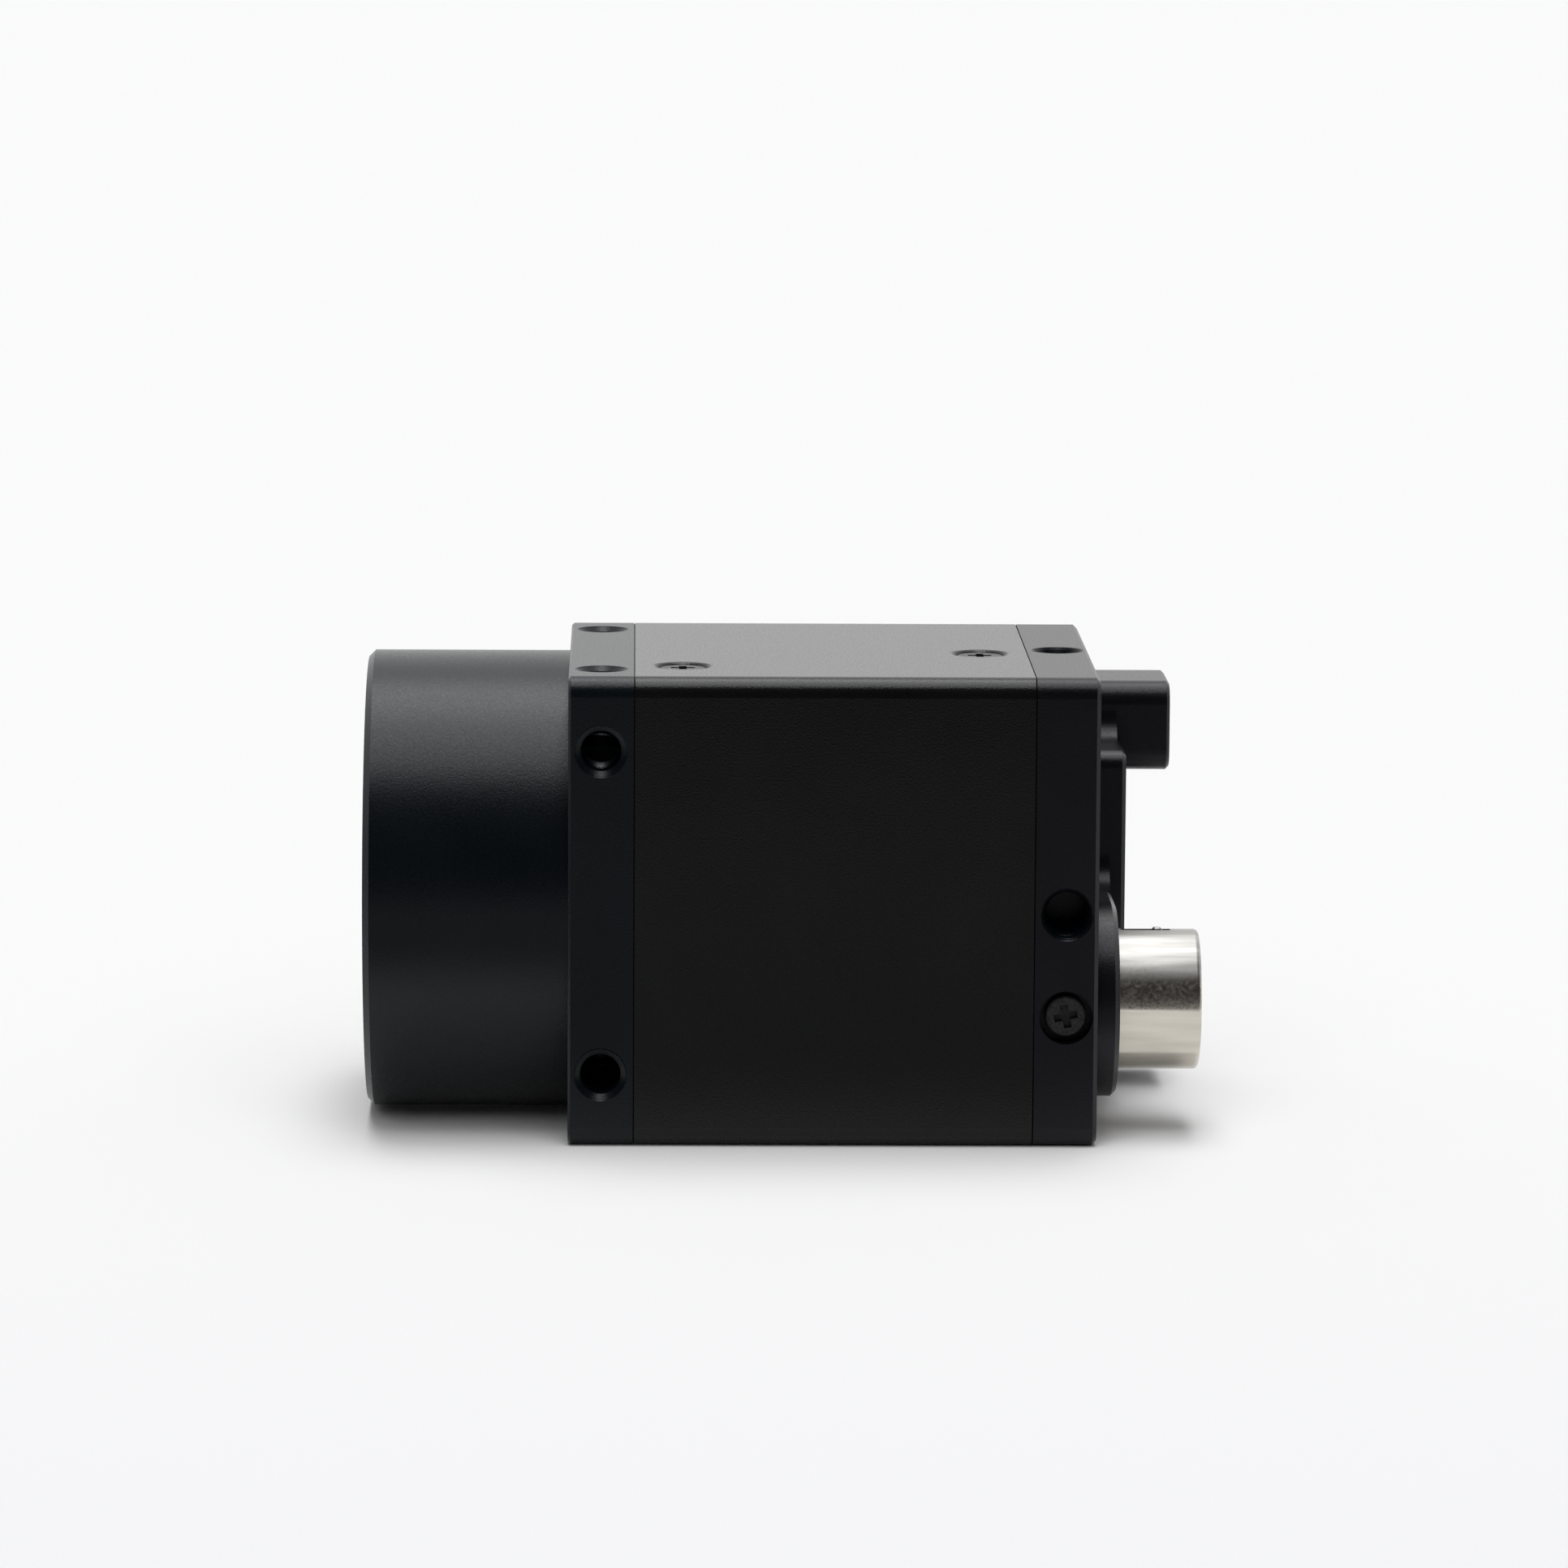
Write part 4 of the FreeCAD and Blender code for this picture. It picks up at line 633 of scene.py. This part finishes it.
# Name, direction, width and strength of the lamps that give no gloss
FILL_LIGHTS = (("top_glow", (0.0, -0.15, -1), 34, 0.74), ("front_fill", (0.0, 0.8, -1), 60, 0.92))

# The camera's focal length and the photo's width in pixels
FOCAL_PIXELS, PHOTO_PIXELS = 9702.2, 1932
SENSOR_WIDTH = 36
CAMERA_PLACE = (16.585, -489.929, 75.943)
CAMERA_PITCH, CAMERA_YAW, CAMERA_ROLL = 8.127, 1.106, 0.344


def make_floor():
    """A pale floor that runs far back, painted a little darker in front. Its reflection is painted dimmer in
    front, where less light falls, and darker still close to the object, as shadow.
    """
    bpy.ops.mesh.primitive_plane_add(size=FLOOR_SIZE, location=(*FLOOR_MIDDLE, FLOOR_Z))
    floor = bpy.context.object
    floor.name = "floor"
    bpy.ops.object.transform_apply(location=True)
    material, tree, shader = new_material("pale_floor")
    depth = coordinates(tree)["Y"]
    pale_share = range_of(tree, depth, 0.0, 1.0, FLOOR_FRONT_Y, FLOOR_BACK_Y)
    # Painted shade: the floor is darker and bluer in front, where less light falls
    pale = ramp(tree, pale_share, FLOOR_FRONT, FLOOR_BACK, start=0.0, end=1.0)
    mirror_share = range_of(tree, depth, 0.0, 1.0, MIRROR_FRONT_Y, MIRROR_BACK_Y)
    fade = ramp(tree, mirror_share, (MIRROR_FRONT,) * 3, (MIRROR_BACK,) * 3, start=0.0, end=1.0)
    # Painted shadow: the mirrored floor dips darker close to the object
    for share, grey in MIRROR_SHADOW_DIPS:
        fade.node.color_ramp.elements.new(share).color = (grey, grey, grey, 1)
    path = tree.nodes.new("ShaderNodeLightPath")
    tree.links.new(blend(tree, path.outputs["Is Glossy Ray"], pale, fade), shader.inputs["Base Color"])
    shader.inputs["Roughness"].default_value = 0.9
    shader.inputs["Specular IOR Level"].default_value = 0.1
    floor.data.materials.append(material)


def make_soft_light(name, direction, spread, strength, shines=True):
    """Even light from one side, as wide as a large softbox. A fill light gives no gloss."""
    lamp = bpy.data.lights.new(name, "SUN")
    lamp.angle = math.radians(spread)
    lamp.energy = strength
    holder = bpy.data.objects.new(name, lamp)
    holder.rotation_euler = Vector(direction).to_track_quat("-Z", "Y").to_euler()
    holder.visible_glossy = shines
    bpy.context.collection.objects.link(holder)


def make_lights():
    """Three narrow lamps above, and the fill lights."""
    for number, turn in enumerate(TOP_LIGHT_TURNS):
        slope = math.radians(turn)
        direction = (0.0, math.cos(slope), -math.sin(slope))
        make_soft_light(f"top_light_{number}", direction, TOP_LIGHT_SPREAD, TOP_LIGHT_STRENGTH)
    for fill in FILL_LIGHTS:
        make_soft_light(*fill, shines=False)


def make_world():
    """White to the eye; a mirror sees it bright behind the object and dim in front."""
    world = bpy.data.worlds.new("studio")
    bpy.context.scene.world = world
    world.use_nodes = True
    tree = world.node_tree
    tree.nodes.clear()
    background = tree.nodes.new("ShaderNodeBackground")
    output = tree.nodes.new("ShaderNodeOutputWorld")
    tree.links.new(background.outputs["Background"], output.inputs["Surface"])
    direction = tree.nodes.new("ShaderNodeTexCoord").outputs["Generated"]
    parts = tree.nodes.new("ShaderNodeSeparateXYZ")
    tree.links.new(direction, parts.inputs["Vector"])
    mirrored = range_of(tree, parts.outputs["Y"], WORLD_FRONT, WORLD_BACK, WORLD_FRONT_Y, WORLD_BACK_Y)
    path = tree.nodes.new("ShaderNodeLightPath")
    lit = blend(tree, path.outputs["Is Diffuse Ray"], mirrored, MATT_GREY)
    seen = blend(tree, path.outputs["Is Camera Ray"], lit, EYE_WHITE)
    tree.links.new(seen, background.inputs["Color"])
    background.inputs["Strength"].default_value = 1.0


def make_camera():
    """The camera of the photograph, found from the object's own corners."""
    pitch, yaw, roll = (math.radians(turn) for turn in (CAMERA_PITCH, CAMERA_YAW, CAMERA_ROLL))
    forward = Vector((math.sin(yaw) * math.cos(pitch), math.cos(yaw) * math.cos(pitch), -math.sin(pitch)))
    right = Vector((math.cos(yaw), -math.sin(yaw), 0))
    up = right.cross(forward)
    turned_right = right * math.cos(roll) + up * math.sin(roll)
    turned_up = -right * math.sin(roll) + up * math.cos(roll)
    data = bpy.data.cameras.new("camera")
    data.sensor_fit = "HORIZONTAL"
    data.sensor_width = SENSOR_WIDTH
    data.lens = FOCAL_PIXELS / PHOTO_PIXELS * SENSOR_WIDTH
    data.clip_start = 0.01
    data.clip_end = 30
    holder = bpy.data.objects.new("camera", data)
    bpy.context.collection.objects.link(holder)
    turn = Matrix((turned_right, turned_up, -forward)).transposed().to_4x4()
    holder.matrix_world = Matrix.Translation(Vector(CAMERA_PLACE) * MM) @ turn
    bpy.context.scene.camera = holder


dress_nodes()
make_front_threads()
make_rear_threads()
make_horn_threads()
make_lens_thread()
make_connector_shell()
make_slot_spring()
make_floor()
make_world()
make_lights()
make_camera()
bpy.context.scene.view_settings.view_transform = "Standard"
